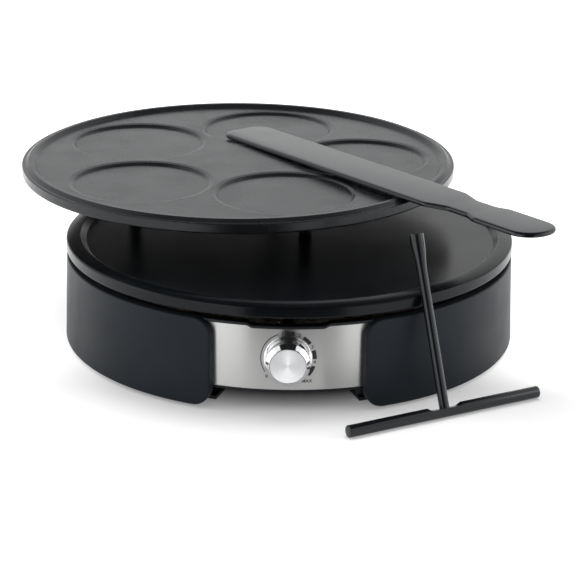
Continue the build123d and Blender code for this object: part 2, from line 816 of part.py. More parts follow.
def live_wire_front():
    """From the thermal fuse to the thermostat."""
    z = cover_top + wire_height
    place = fuse_place()
    start = place.Y - fuse_length / 2
    back = thermostat_length - thermostat_front
    side = -thermostat_width / 4
    return wire_run([
        (-wire_side, start, z), (-wire_side, start - wire_straight, z),
        (side, back + wire_slant, z + wire_rise), (side, back + wire_lead, knob_z), (side, back, knob_z)])


def neutral_wire():
    """From the terminal block to one of the element's pins."""
    z = cover_top + wire_height
    top = cover_top + block_height
    leg_y = element_leg_y()
    low = element_leg_bottom - pin_length
    return wire_run([
        (block_hole_pitch(), block_y, top - wire_entry), (block_hole_pitch(), block_y, top + wire_rise),
        (wire_side, block_y - wire_swing, z + wire_rise), (wire_side, -wire_straight, z),
        (element_leg_x, leg_y + wire_behind_pins, z), (element_leg_x, leg_y, z), (element_leg_x, leg_y, low)])


def switched_wire():
    """From the thermostat to the element's other pin."""
    leg_y = element_leg_y()
    low = element_leg_bottom - pin_length
    back = thermostat_length - thermostat_front
    z = knob_z - thermostat_height / 2 + wire_entry
    deep = low - switched_wire_drop
    side = -element_leg_x + switched_wire_shift
    middle = (leg_y + back) / 2
    return tube_along(FilletPolyline(
        (-element_leg_x, leg_y, low), (-element_leg_x, leg_y, deep), (side, middle, deep),
        (side, middle, z), (side, back, z), radius=switched_wire_bend), wire_radius)


# ---------------------------------------------------------------- plates
def crepe_plate():
    """The cast crepe plate: a shallow dish with a rounded rim and a skirt beneath."""
    ridge_inner = plate_radius - rim_width
    dish = ridge_inner - dish_slope
    skirt = plate_radius - skirt_width
    step = crepe_underside - rim_bottom
    outline = FilletPolyline(
        (0, crepe_underside), (skirt - step, crepe_underside), (skirt, rim_bottom),
        (plate_radius, rim_bottom), (plate_radius, rim_top), (ridge_inner, rim_top),
        (dish, cooking_face), (0, cooking_face),
        radius=[skirt_edge, skirt_edge, rim_foot_edge, rim_edge, dish_edge, dish_edge])
    closing = Line((0, cooking_face), (0, crepe_underside))
    return revolve(Plane.XZ * make_face([outline, closing]), Axis.Z)


def plate_legs(underside, seat, centre, turn):
    """Three cast legs under a plate, standing on the given height."""
    bottom = seat + seat_gap
    flange_bottom = underside - leg_flange_thickness
    leg = turned([
        (0, bottom), (leg_foot_radius - leg_foot_edge, bottom), (leg_foot_radius, bottom + leg_foot_edge),
        (leg_foot_radius, bottom + leg_foot_height), (leg_radius, bottom + leg_foot_height + leg_taper),
        (leg_radius, flange_bottom - leg_taper), (leg_flange_radius, flange_bottom),
        (leg_flange_radius, underside), (0, underside),
    ])
    legs = []
    for i in range(3):
        x, y = polar(leg_circle, turn + 120 * i)
        legs.append(Pos(centre[0] + x, centre[1] + y) * leg)
    return Compound(children=legs)


def crepe_plate_legs():
    """The crepe plate's legs, which stand on the tray's pads."""
    return plate_legs(crepe_underside, pad_top, (0, 0), leg_angles[0])


def pancake_plate_legs():
    """The pancake plate's legs, which stand on the crepe plate's cooking face."""
    return plate_legs(pancake_underside, cooking_face, (plate_offset_x, plate_offset_y), pancake_leg_turn)


def well_cutter():
    """One pancake well, with a soft lower and upper edge."""
    floor = pancake_land - well_depth
    above = pancake_land + well_depth
    inner = well_radius - well_slope
    outer = well_radius + 2 * well_slope
    wall = FilletPolyline(
        (0, floor), (inner, floor), (well_radius, pancake_land), (outer, pancake_land),
        radius=[well_floor_edge, well_rim_edge])
    roof = Polyline((outer, pancake_land), (outer, above), (0, above), (0, floor))
    return revolve(Plane.XZ * make_face([wall, roof]), Axis.Z)


def pancake_plate():
    """The cast pancake plate: a narrow bead inside its flat rim and five shallow wells."""
    outline = FilletPolyline(
        (0, pancake_underside), (pancake_core_radius, pancake_underside),
        (pancake_core_radius + pancake_core, pancake_edge_bottom), (plate_radius, pancake_edge_bottom),
        (plate_radius, shoulder_top), (bead_outer, shoulder_top),
        (crest_outer, pancake_top), (crest_inner, pancake_top),
        (land_radius, pancake_land), (0, pancake_land),
        radius=[skirt_edge, skirt_edge, pancake_foot_edge, pancake_rim_edge, bead_root_edge,
                bead_crest_edge, bead_crest_edge, bead_root_edge])
    closing = Line((0, pancake_land), (0, pancake_underside))
    body = revolve(Plane.XZ * make_face([outline, closing]), Axis.Z)
    for i in range(well_count):
        x, y = polar(well_circle, well_turn + 360 / well_count * i)
        body -= Pos(x, y) * well_cutter()
    return Pos(plate_offset_x, plate_offset_y) * body


# ---------------------------------------------------------------- accessories
def spatula_outline():
    """The spatula from above, with its tip at the origin and its handle along +X."""
    half = spatula_width / 2
    waist = waist_width / 2
    grip = handle_width / 2
    waist_start = blade_length + waist_slope
    waist_end = waist_start + waist_length
    side = [
        (0, half), (blade_length, half), (waist_start, waist), (waist_end, waist),
        (waist_end + waist_slope / 2, grip), (spatula_length, grip),
    ]
    other = [(x, -y) for x, y in reversed(side)]
    outline = make_face(Polyline(*side, *other, close=True))
    for x, radius in ((0, spatula_tip_corner), (spatula_length, grip - spatula_edge)):
        corners = [v for v in outline.vertices() if abs(v.X - x) < hair]
        outline = fillet(corners, radius)
    soft = [v for v in outline.vertices() if blade_length - hair < v.X < waist_end + waist_slope]
    return fillet(soft, waist_round)


def bead_crossing():
    """How far from its tip the spatula's outer long edge meets the top of the plate's bead."""
    heading = radians(spatula_heading)
    half = spatula_width / 2
    start_x = spatula_tip_x - plate_offset_x - half * sin(heading)
    start_y = spatula_tip_y - plate_offset_y + half * cos(heading)
    along = start_x * cos(heading) + start_y * sin(heading)
    bead_start = crest_inner + bead_crest / 2
    return sqrt(along ** 2 - start_x ** 2 - start_y ** 2 + bead_start ** 2) - along


def spatula_place():
    """Where the spatula lies: on the pancake plate's face and bead, its handle out over the rim."""
    slope = bead_height / (bead_crossing() - spatula_land_reach)
    underside = pancake_land + seat_gap - slope * spatula_land_reach
    tip = Pos(spatula_tip_x, spatula_tip_y, underside)
    return tip * Rot(0, 0, spatula_heading) * Rot(0, -degrees(atan(slope)), 0)


def spatula():
    """The flat turning spatula with bevelled long edges."""
    body = extrude(spatula_outline(), amount=spatula_thickness)
    top = body.faces().sort_by(Axis.Z)[-1]
    body = chamfer(top.edges(), spatula_edge)
    return spatula_place() * body


def spreader_reach(radius, top, edge):
    """How far out the bar lies when the rod leans on a round body's rounded upper edge."""
    lean = radians(rod_lean)
    touch = radius - edge + (edge + seat_gap + rod_radius) / cos(lean)
    return sqrt(touch ** 2 - spreader_shift ** 2) + (top - edge - bar_radius) * tan(lean)


def spreader_place():
    """Frame of the spreader, leaning on what stands out furthest: X along the bar, Z up the rod."""
    away = max(
        spreader_reach(plate_radius, rim_top, rim_edge),
        spreader_reach(shell_radius, shell_top, shell_edge))
    joint = Pos(spreader_shift, -away, bar_radius)
    return Rot(0, 0, bar_heading) * joint * Rot(-rod_lean, 0, 0)


def spreader_bar():
    """The round bar, milled flat in the middle where the rod is let in."""
    body = Rot(0, 90, 0) * Cylinder(bar_radius, bar_length)
    body = chamfer(body.edges().filter_by(GeomType.CIRCLE), bar_edge)
    low = bar_radius - bar_flat_depth
    notch = Pos(0, low + bar_scoop) * SlotOverall(bar_flat_length + 2 * bar_scoop, 2 * bar_scoop)
    body -= extrude(Plane.XZ * notch, amount=2 * bar_radius, both=True)
    body -= post(rod_tenon_radius + running_gap, low - rod_tenon_length - seam_gap, bar_radius)
    return spreader_place() * body


def spreader_rod():
    """The handle rod, flared towards its end, with a tenon that is pressed into the bar."""
    low = bar_radius - bar_flat_depth
    body = turned([
        (0, low - rod_tenon_length), (rod_tenon_radius, low - rod_tenon_length), (rod_tenon_radius, low),
        (rod_radius, low), (rod_radius, rod_length - rod_flare_length),
        (rod_tip_radius, rod_length - rod_tip_edge), (rod_tip_radius - rod_tip_edge, rod_length),
        (0, rod_length),
    ])
    return spreader_place() * body


# ---------------------------------------------------------------- all pieces
pieces = {
    "inner_housing": inner_housing,
    "left_side_shell": lambda: side_shell(-1),
    "right_side_shell": lambda: side_shell(1),
    "shell_screws": shell_screws,
    "front_panel": front_panel,
    "bottom_cover": bottom_cover,
    "rubber_feet": rubber_feet,
    "bottom_screws": bottom_screws,
    "reflector_tray": reflector_tray,
    "leg_pads": leg_pads,
    "heating_element": heating_element,
    "element_pins": element_pins,
    "element_bushes": element_bushes,
    "element_brackets": element_brackets,
    "temperature_sensor": temperature_sensor,
    "sensor_posts": sensor_posts,
    "thermostat": thermostat,
    "thermostat_nut": thermostat_nut,
    "knob_bezel": knob_bezel,
    "spindle": spindle,
    "knob": knob,
    "knob_cap": knob_cap,
    "cord_gland": cord_gland,
    "cord_clamp": cord_clamp,
    "terminal_block": terminal_block,
    "thermal_fuse": thermal_fuse,
    "live_wire_rear": live_wire_rear,
    "live_wire_front": live_wire_front,
    "neutral_wire": neutral_wire,
    "switched_wire": switched_wire,
    "crepe_plate": crepe_plate,
    "crepe_plate_legs": crepe_plate_legs,
    "pancake_plate": pancake_plate,
    "pancake_plate_legs": pancake_plate_legs,
    "spatula": spatula,
    "spreader_bar": spreader_bar,
    "spreader_rod": spreader_rod,
}

os.makedirs("parts", exist_ok=True)
for name, build in pieces.items():
    export_step(build(), "parts/" + name + ".step")
    print(name)
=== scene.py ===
from math import asin, atan, atan2, cos, degrees, pi, radians, sin, sqrt, tan

import bpy
import bmesh
from mathutils import Matrix, Vector


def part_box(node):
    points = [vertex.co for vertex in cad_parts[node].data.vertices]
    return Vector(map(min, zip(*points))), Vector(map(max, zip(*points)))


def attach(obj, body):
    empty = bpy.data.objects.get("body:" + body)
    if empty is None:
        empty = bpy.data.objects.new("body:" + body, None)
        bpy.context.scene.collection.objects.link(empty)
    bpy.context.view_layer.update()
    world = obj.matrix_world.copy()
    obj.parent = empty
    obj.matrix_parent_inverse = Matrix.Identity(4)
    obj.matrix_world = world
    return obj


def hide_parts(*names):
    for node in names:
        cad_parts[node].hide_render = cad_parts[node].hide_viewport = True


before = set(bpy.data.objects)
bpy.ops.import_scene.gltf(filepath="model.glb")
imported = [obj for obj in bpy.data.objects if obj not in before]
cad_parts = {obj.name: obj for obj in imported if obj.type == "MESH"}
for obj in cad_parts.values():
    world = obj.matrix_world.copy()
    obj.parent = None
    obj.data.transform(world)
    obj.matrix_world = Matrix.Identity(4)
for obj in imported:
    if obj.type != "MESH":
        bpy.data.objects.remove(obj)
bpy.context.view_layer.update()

# Dresses the electric crepe maker: plates, shells, drum, cover, panel with its dial, knob,
# spatula and batter spreader are finer meshes built here, and the inner pieces keep their solids.
# Sizes are in millimetres and Blender's objects in metres. +Z is up and -Y is the front.
MM = 0.001


# ---- sizes read from the imported solids
def node_box(node):
    """The lowest and highest corner of a solid, in millimetres."""
    low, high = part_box(node)
    return [round(c / MM, 1) for c in low], [round(c / MM, 1) for c in high]


(_, drum_front, drum_bottom), (drum_radius, _, lip_top) = node_box("inner_housing")
(_, _, shell_bottom), (shell_radius, _, shell_top) = node_box("right_side_shell")
(_, panel_front, panel_bottom), (panel_half_width, _, panel_top) = node_box("front_panel")
(_, _, rim_bottom), (plate_radius, _, rim_top) = node_box("crepe_plate")
(pancake_left, pancake_near, pancake_underside), (pancake_right, pancake_far, pancake_top) = \
    node_box("pancake_plate")
(_, knob_front, knob_low), (knob_radius, knob_rear, knob_high) = node_box("knob")
(_, bezel_front, _), (bezel_radius, _, _) = node_box("knob_bezel")
(_, cap_front, _), (cap_radius, cap_rear, _) = node_box("knob_cap")

lip_radius = -drum_front
panel_outer = -panel_front
knob_face = -knob_front
knob_back = -knob_rear
knob_z = (knob_low + knob_high) / 2
pancake_centre = ((pancake_left + pancake_right) / 2, (pancake_near + pancake_far) / 2)

# ---- other sizes
support = 0.3  # of the extra points beside each rounding
same_place = 1e-6  # metres within which two points are one
on_plane = 1e-7  # likewise for a point and a cutting plane
sharp_angle = 32.0  # between faces, over which an edge stays crisp
fine_edge = 0.3  # rounding of small corners
small_edge = 0.5
round_steps = 4  # of small rounded ends
square = ((-1, -1), (1, -1), (1, 1), (-1, 1))  # corners, in order

drum_wall = 3.0
drum_foot_edge = 1.0
open_foot_angle = 19.0  # from the front, up to which the drum's lower edge is raised
open_foot_slope = 4.0
open_foot_half_width = 43.0
open_foot_depth = 31.0
open_foot_flare = 0.32
cover_thickness = 2.5
boss_count = 4
boss_radius = 4.5
boss_hole = 2.1
boss_height = 17.8
boss_inset = 8.3  # of the cover's screw bosses from the drum's inner wall
boss_turn = 20.0
lip_thickness = 2.2
lip_half_width = 57.5
drum_ledge_z = 57.7
drum_ledge_width = 5.0
drum_ledge_thickness = 2.4
strip_inset = 1.0  # of the sill and the lip into the drum's wall
grip_half_width = 24.0  # finger recess over the panel
grip_slope = 5.0
grip_depth = 1.8
seam_gap = 0.2

shell_wall = 2.5
shell_corner = 12.0
shell_corner_steps = 12
shell_run_steps = 140  # of the shells' long edges
shell_edge = 1.2
shell_edge_steps = 6
shell_draft = 0.033  # by which the shells widen downwards, about their middle
front_gap_angle = 18.8
rear_gap_angle = 12.0

panel_thickness = 0.8
panel_edge = 0.15
sill_radius = 158.5
sill_low = 13.8
sill_high = 15.4
sill_half_angle = 19.8
sill_edge = 0.35

middle_radius = 30.0  # within which both plates' underside is one flat face
crepe_underside = 70.0
cooking_face = 74.5
skirt_width = 7.0
rim_width = 10.5
rim_foot_edge = 1.2
rim_edge = 1.5
rim_inner_edge = 0.9
rim_crown = 30.0  # radius of the rim's crowned top
rim_crown_steps = 8
rim_crown_lift = 1.0
rim_crown_tilt = 16.0
dish_slope = 4.2
dish_edge = 1.4

pancake_edge_bottom = 107.4
pancake_core_inset = 15.0
pancake_core_edge = 0.6
pancake_foot_edge = 1.3
pancake_rim_edge = 1.0
shoulder_width = 2.6
shoulder_height = 0.8
bead_height = 3.0
bead_crest = 3.2
bead_crest_fall = 0.15
bead_crest_edge = 1.2
bead_root_edge = 0.8
bead_inner_slope = 3.0
bead_outer_slope = 2.8
land_border = 2.0  # of land that is turned with the rim
well_count = 5
well_circle = 93.4
well_radius = 52.3
well_depth = 2.2
well_slope = 3.3
well_border = 2.2  # of land that is turned with each well
well_shoulder = 1.6  # half the width of the soft edge round each well
well_shoulder_drop = 0.6
well_outer_edge = 4.0
well_inner_edge = 2.0
well_floor_edge = 1.0
well_middle = 20.0  # radius of the disc that closes each well's floor
well_turn = 5.0

knob_hole = 3.0
knob_bevel = 2.6
knob_bevel_depth = 3.2
knob_cavity_radius = 10.5
knob_cavity_depth = 4.2
knob_back_edge = 0.4
knob_face_edge = 0.25
cap_back_flat = 1.0  # outer ring of the cap's back
cap_middle_share = 0.5  # of the cap's radius, within which its face is one disc
cap_side_gap = 0.03
cap_seat_gap = 0.05
cap_seat_edge = 0.08
cap_back_edge = 0.1
cap_face_edge = 0.06
pointer_angles = (-83.8, 96.2)
pointer_span = (0.12, 0.5, 0.88)  # shares of the bevel that a stroke crosses
pointer_half_width = 0.8
pointer_lift = 0.04
bezel_hole = 9.6
bezel_edge = 0.6
bezel_back_edge = 0.2
bezel_sink = 1.2  # behind the panel's face

spatula_length = 352.0
spatula_width = 42.0
spatula_thickness = 3.2
spatula_edge = 0.4  # of the lower side
spatula_side_drop = 1.5  # from the top face to where the bevel starts
spatula_bevel = ((0.35, 0.85), (1.0, 0.42), (2.1, 0.12), (3.5, 0.0))  # inset, drop
spatula_tip_corner = 13.0
blade_length = 248.0
waist_width = 29.0
waist_length = 20.0
waist_slope = 19.0
waist_round = 12.0
handle_width = 36.5
handle_end_flat = 1.0  # half the flat left at the handle's end
spatula_tip = (-39.8, 144.8)
spatula_heading = -52.6
spatula_land_reach = 31.0
spatula_rim_reach = 205.1
spatula_seat_gap = 0.3

bar_radius = 4.2
bar_length = 152.0
bar_heading = 28.6
bar_edge = 0.7
bar_sides = 64
bar_flat_half_length = 9.75
bar_flat_border = 2.0
bar_flat_depth = 2.2
bar_scoop = 4.5  # radius of the hollows at the flat's ends
bar_scoop_steps = 10
rod_length = 122.0
rod_radius = 3.5
rod_foot_sink = 0.6
rod_tip_radius = 4.9
rod_tip_length = 6.0  # of straight rod beyond the flare
rod_tip_edge = 0.35
rod_flare_length = 26.0
rod_flare_steps = 8
rod_flare_lead = 8.0  # before the flare, where the rod is still straight
rod_lean = 21.0
spreader_shift = 14.8
spreader_away = 196.36


# ---- mesh helpers
def linked(name, data):
    """A new object in the scene."""
    made = bpy.data.objects.new(name, data)
    bpy.context.scene.collection.objects.link(made)
    return made


def crisp_piece(name, shape):
    """A smooth-shaded mesh object from a bmesh, with its edges kept crisp."""
    bmesh.ops.recalc_face_normals(shape, faces=shape.faces)
    mesh = bpy.data.meshes.new(name)
    shape.to_mesh(mesh)
    shape.free()
    mesh.shade_smooth()
    mesh.set_sharp_from_angle(angle=radians(sharp_angle))
    return linked(name, mesh)


def make_piece(name, points, faces, fill_holes=False):
    """A crisp piece from points in millimetres, its holes filled with flat faces if asked."""
    draft = bpy.data.meshes.new("draft")
    draft.from_pydata([Vector(point) * MM for point in points], [], faces)
    shape = bmesh.new()
    shape.from_mesh(draft)
    bpy.data.meshes.remove(draft)
    bmesh.ops.remove_doubles(shape, verts=shape.verts, dist=same_place)
    if fill_holes:
        open_edges = [edge for edge in shape.edges if edge.is_boundary]
        bmesh.ops.triangle_fill(shape, edges=open_edges, use_beauty=True, normal=(0, 0, 1))
    return crisp_piece(name, shape)


def skin(rings, join_ends=False, first_cap=True, last_cap=True):
    """Points and faces of a surface through rings that all have the same number of points."""
    count = len(rings[0])
    points = [point for ring in rings for point in ring]
    faces = []
    for i in range(len(rings) if join_ends else len(rings) - 1):
        here = i * count
        there = (i + 1) % len(rings) * count
        for j in range(count):
            k = (j + 1) % count
            faces.append((here + j, here + k, there + k, there + j))
    if first_cap and not join_ends:
        faces.append(tuple(range(count)))
    if last_cap and not join_ends:
        faces.append(tuple(range(len(points) - count, len(points))))
    return points, faces


def gathered(surfaces):
    """One list of points and one of faces from several surfaces."""
    points = []
    faces = []
    for some_points, some_faces in surfaces:
        start = len(points)
        points += some_points
        faces += [tuple(start + i for i in face) for face in some_faces]
    return points, faces


def rounded(corners, closed=False, steps=6):
    """An outline through (across, up, rounding) corners, with arcs and a point close beside each."""
    outline = []
    count = len(corners)
    for i, (across, up, rounding) in enumerate(corners):
        here = Vector((across, up))
        at_end = not closed and i in (0, count - 1)
        if rounding == 0 or at_end:
            outline.append(here)
            continue
        before = (Vector(corners[i - 1][:2]) - here).normalized()
        after = (Vector(corners[(i + 1) % count][:2]) - here).normalized()
        half_corner = before.angle(after) / 2
        reach = rounding / tan(half_corner)
        centre = here + (before + after).normalized() * rounding / sin(half_corner)
        start = here + before * reach - centre
        end = here + after * reach - centre
        turn = start.angle_signed(end)
        outline.append(centre + start + before * support)
        for step in range(steps + 1):
            outline.append(centre + Matrix.Rotation(-turn * step / steps, 2) @ start)
        outline.append(centre + end + after * support)
    return outline


def full_turn(steps):
    """Angles all the way round."""
    return [2 * pi * i / steps for i in range(steps)]


def quarter_turn(steps, first=0):
    """Angles over a quarter turn, from the first step on."""
    return [pi / 2 * step / steps for step in range(first, steps + 1)]


def eased(share):
    """A share kept between 0 and 1, and eased at both ends."""
    share = min(max(share, 0.0), 1.0)
    return share * share * (3 - 2 * share)


def turned_rings(outline, centre=(0.0, 0.0), steps=240):
    """Rings round an upright axis, one for each (radius, height) of the outline."""
    x, y = centre
    return [[(x + r * cos(a), y + r * sin(a), z) for a in full_turn(steps)] for r, z in outline]


def spread_round(centre, radius, count, first):
    """Places spread evenly round a centre, the first at an angle in degrees."""
    x, y = centre
    angles = [radians(first + 360 / count * i) for i in range(count)]
    return [(x + radius * cos(angle), y + radius * sin(angle)) for angle in angles]


def forward_rings(outline, steps=120):
    """Rings round the knob's axis, one for each (radius, distance forward) of the outline."""
    return [[(r * cos(a), -d, knob_z + r * sin(a)) for a in full_turn(steps)] for r, d in outline]


def dress(piece, body, material, slot, *nodes):
    """Gives a piece its material and body, and hides the solids it stands for."""
    piece.data.materials.clear()
    piece.data.materials.append(material)
    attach(piece, body)
    if nodes:
        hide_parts(*nodes)


def paint_underside(piece):
    """Gives a plate's downward faces their own black paint."""
    piece.data.materials.append(UNDERSIDE)
    for face in piece.data.polygons:
        if face.normal.z < -0.5:
            face.material_index = 1


# ---- shared surface effects
def add(tree, kind, inputs=None, **settings):
    """A shader node with its settings, and its inputs linked or set."""
    made = tree.nodes.new(kind)
    for setting, value in settings.items():
        setattr(made, setting, value)
    for socket, value in (inputs or {}).items():
        if isinstance(value, bpy.types.NodeSocket):
            tree.links.new(value, made.inputs[socket])
        else:
            made.inputs[socket].default_value = value
    return made


noise_span = (0.3, 0.7)  # in which nearly all of a noise lies


def feed(node, socket, value):
    """Links a value to one of a node's sockets."""
    node.id_data.links.new(value, node.inputs[socket])


def maths(tree, operation, first, second):
    """The result of one operation on two values."""
    return add(tree, "ShaderNodeMath", {0: first, 1: second}, operation=operation).outputs[0]


def object_place(tree):
    """The place on the object, in its own frame."""
    return add(tree, "ShaderNodeTexCoord").outputs["Object"]


def distance(tree, place):
    """How far a place lies from the middle."""
    return add(tree, "ShaderNodeVectorMath", {0: place}, operation="LENGTH").outputs["Value"]


def mapped(tree, value, start=0.0, end=1.0, low=0.0, high=1.0, curve="LINEAR"):
    """A value moved from one span to another."""
    limits = {"From Min": start, "From Max": end, "To Min": low, "To Max": high}
    moved = add(tree, "ShaderNodeMapRange", {"Value": value, **limits}, interpolation_type=curve)
    return moved.outputs["Result"]


def mixed(tree, share, colour, other):
    """A colour between two tones."""
    tones = {"A": (*colour, 1.0), "B": (*other, 1.0)}
    return add(tree, "ShaderNodeMix", {"Factor": share, **tones}, data_type="RGBA").outputs["Result"]


def effect(name, output, **inputs):
    """An empty node group with number inputs and one output, and its two end nodes."""
    group = bpy.data.node_groups.new(name, "ShaderNodeTree")
    for label, value in inputs.items():
        socket = group.interface.new_socket(label, in_out="INPUT", socket_type="NodeSocketFloat")
        socket.default_value = value
    group.interface.new_socket(output, in_out="OUTPUT", socket_type="NodeSocketFloat")
    return group, add(group, "NodeGroupInput").outputs, add(group, "NodeGroupOutput")


def mottle_effect():
    """Soft patches of a value between two limits, as uneven gloss or tone."""
    group, given, ends = effect("mottle", "Value", Scale=60.0, Low=0.3, High=0.4)
    noise = add(group, "ShaderNodeTexNoise", {
        "Vector": object_place(group), "Scale": given["Scale"], "Detail": 4.0})
    feed(ends, "Value", mapped(group, noise.outputs["Fac"], *noise_span, given["Low"], given["High"]))
    return group


def grain_effect():
    """The fine uneven height of a moulded, sprayed or cast surface."""
    group, given, ends = effect("grain", "Height", Scale=900.0, Depth=1.0, Roughness=0.5)
    noise = add(group, "ShaderNodeTexNoise", {
        "Vector": object_place(group), "Scale": given["Scale"], "Detail": 3.0,
        "Roughness": given["Roughness"]})
    height = maths(group, "MULTIPLY", noise.outputs["Fac"], given["Depth"])
    feed(ends, "Height", height)
    return group


def brushing_effect():
    """Fine lines that run round the upright axis, as brushed sheet has."""
    group, given, ends = effect("brushing", "Value", Fineness=2600.0, Length=12.0)
    split = add(group, "ShaderNodeSeparateXYZ", {"Vector": object_place(group)})
    across = maths(group, "MULTIPLY", split.outputs["X"], given["Length"])
    up = maths(group, "MULTIPLY", split.outputs["Z"], given["Fineness"])
    joined = add(group, "ShaderNodeCombineXYZ", {"X": across, "Z": up})
    noise = add(group, "ShaderNodeTexNoise", {"Vector": joined.outputs[0], "Scale": 1.0, "Detail": 2.0})
    feed(ends, "Value", noise.outputs["Fac"])
    return group


MOTTLE = mottle_effect()
GRAIN = grain_effect()
BRUSHING = brushing_effect()


def use(tree, group, **inputs):
    """Places a shared effect in a material's tree and returns its first output."""
    return add(tree, "ShaderNodeGroup", inputs, node_tree=group).outputs[0]


def finish(name, colour, roughness, metallic=0.0, **plain):
    """A material with its plain values set on the principled shader itself."""
    material = bpy.data.materials.new(name)
    material.use_nodes = True
    shader = material.node_tree.nodes["Principled BSDF"]
    shader.inputs["Base Color"].default_value = (*colour, 1.0)
    shader.inputs["Roughness"].default_value = roughness
    shader.inputs["Metallic"].default_value = metallic
    for socket, value in plain.items():
        shader.inputs[socket.replace("_", " ")].default_value = value
    return material, shader


def tone(shader, colour, other, scale):
    """Varies the base colour between two tones in soft patches."""
    share = use(shader.id_data, MOTTLE, Scale=scale, Low=0.0, High=1.0)
    feed(shader, "Base Color", mixed(shader.id_data, share, colour, other))


def uneven_gloss(shader, low, high, scale):
    """Varies the roughness in soft patches."""
    feed(shader, "Roughness", use(shader.id_data, MOTTLE, Scale=scale, Low=low, High=high))


def relief(shader, height, depth):
    """Feeds a height to the shader's normal, its depth in millimetres."""
    bump = add(shader.id_data, "ShaderNodeBump", {"Height": height, "Distance": depth * MM, "Strength": 1.0})
    feed(shader, "Normal", bump.outputs["Normal"])


def fine_grain(shader, scale, raggedness, depth):
    """The relief of a moulded, sprayed or cast surface."""
    relief(shader, use(shader.id_data, GRAIN, Scale=scale, Depth=1.0, Roughness=raggedness), depth)


def patchy(name, base, roughness, gloss, tones=None, grain=None, metallic=0.0, **plain):
    """A material with soft patches in its gloss, and in its tone, and a grain if given.

    gloss is (low, high, scale), tones are (one, other, scale), grain is (scale, roughness, depth).
    """
    material, shader = finish(name, base, roughness, metallic, **plain)
    if tones:
        tone(shader, *tones)
    uneven_gloss(shader, *gloss)
    if grain:
        fine_grain(shader, *grain)
    return material


# ---- materials
cool_tint = (0.9, 0.95, 1.0, 1.0)  # of the reflections on black surfaces
sheet_steel = (0.6, 0.59, 0.57)
tray_span = 0.155  # metres from the tray's middle to its edge
heat_tints = (  # share of that span, and the colour there
    (0.3, (0.56, 0.48, 0.34)), (0.37, (0.45, 0.34, 0.22)), (0.5, (0.6, 0.56, 0.47)),
    (0.68, (0.5, 0.4, 0.27)), (0.74, (0.36, 0.3, 0.27)), (0.86, (0.6, 0.57, 0.52)))


def follow_turning(shader):
    """Lets the stretched reflections run round the object's upright axis."""
    tangent = add(shader.id_data, "ShaderNodeTangent", direction_type="RADIAL", axis="Z")
    feed(shader, "Tangent", tangent.outputs["Tangent"])


def brushed_panel_steel():
    """The front panel's stainless sheet, brushed along its length."""
    material, shader = finish("brushed_panel_steel", (0.5, 0.5, 0.495), 0.3, metallic=1.0,
                              Anisotropic=0.8, Anisotropic_Rotation=0.25)
    tree = material.node_tree
    lines = use(tree, BRUSHING, Fineness=2600.0, Length=14.0)
    feed(shader, "Roughness", mapped(tree, lines, *noise_span, 0.3, 0.36))
    feed(shader, "Base Color", mixed(tree, lines, (0.47, 0.47, 0.465), (0.52, 0.52, 0.515)))
    follow_turning(shader)
    relief(shader, lines, 0.002)
    return material


def spun_metal():
    """The knob cap's face, turned on a lathe about its own axis."""
    material, shader = finish("spun_metal", (0.78, 0.785, 0.8), 0.24, metallic=1.0, Anisotropic=0.85)
    tree = material.node_tree
    follow_turning(shader)
    rings = add(tree, "ShaderNodeTexNoise", {
        "W": distance(tree, object_place(tree)), "Scale": 5200.0, "Detail": 2.0}, noise_dimensions="1D")
    feed(shader, "Roughness", mapped(tree, rings.outputs["Fac"], *noise_span, 0.2, 0.3))
    relief(shader, rings.outputs["Fac"], 0.003)
    return material


def non_stick(name, colour, other, gloss, depth, shine):
    """The plates' sprayed coating over cast metal, with a faint orange peel and fine specks."""
    material, shader = finish(name, colour, gloss[0], Specular_IOR_Level=shine, Specular_Tint=cool_tint)
    tree = material.node_tree
    tone(shader, colour, other, 18.0)
    uneven_gloss(shader, *gloss, 35.0)
    peel = use(tree, GRAIN, Scale=520.0, Depth=1.0, Roughness=0.55)
    specks = use(tree, GRAIN, Scale=2600.0, Depth=0.35, Roughness=0.7)
    relief(shader, maths(tree, "ADD", peel, specks), depth)
    return material


def tray_sheet_steel():
    """The tray's rolled sheet, tinted straw and brown by heat near the element."""
    material, shader = finish("tray_sheet_steel", sheet_steel, 0.35, metallic=1.0)
    tree = material.node_tree
    flat = add(tree, "ShaderNodeVectorMath", {
        0: object_place(tree), 1: (1.0, 1.0, 0.0)}, operation="MULTIPLY")
    stray = use(tree, MOTTLE, Scale=22.0, Low=-0.012, High=0.012)
    radius = maths(tree, "ADD", distance(tree, flat.outputs["Vector"]), stray)
    tint = add(tree, "ShaderNodeValToRGB", {"Fac": mapped(tree, radius, end=tray_span)})
    ramp = tint.color_ramp
    for end in ramp.elements:
        end.color = (*sheet_steel, 1.0)
    for spot, colour in heat_tints:
        ramp.elements.new(spot).color = (*colour, 1.0)
    feed(shader, "Base Color", tint.outputs["Color"])
    uneven_gloss(shader, 0.28, 0.46, 70.0)
    fine_grain(shader, 700.0, 0.4, 0.015)
    return material


def wire_insulation(name, colour, other):
    """Silicone insulation of the inner wires."""
    return patchy(name, colour, 0.4, tones=(colour, other, 200.0), gloss=(0.35, 0.5, 300.0))


# The side shells' rubbery paint, matt with a faint bloom.
SOFT_TOUCH = patchy(
    "soft_touch_charcoal", (0.015, 0.019, 0.024), 0.5,
    tones=((0.014, 0.0175, 0.0222), (0.0168, 0.0207, 0.0262), 25.0),
    gloss=(0.4, 0.48, 40.0), grain=(2400.0, 0.6, 0.012),
    Specular_IOR_Level=0.13, Specular_Tint=cool_tint, Sheen_Weight=0.02, Sheen_Roughness=0.4)

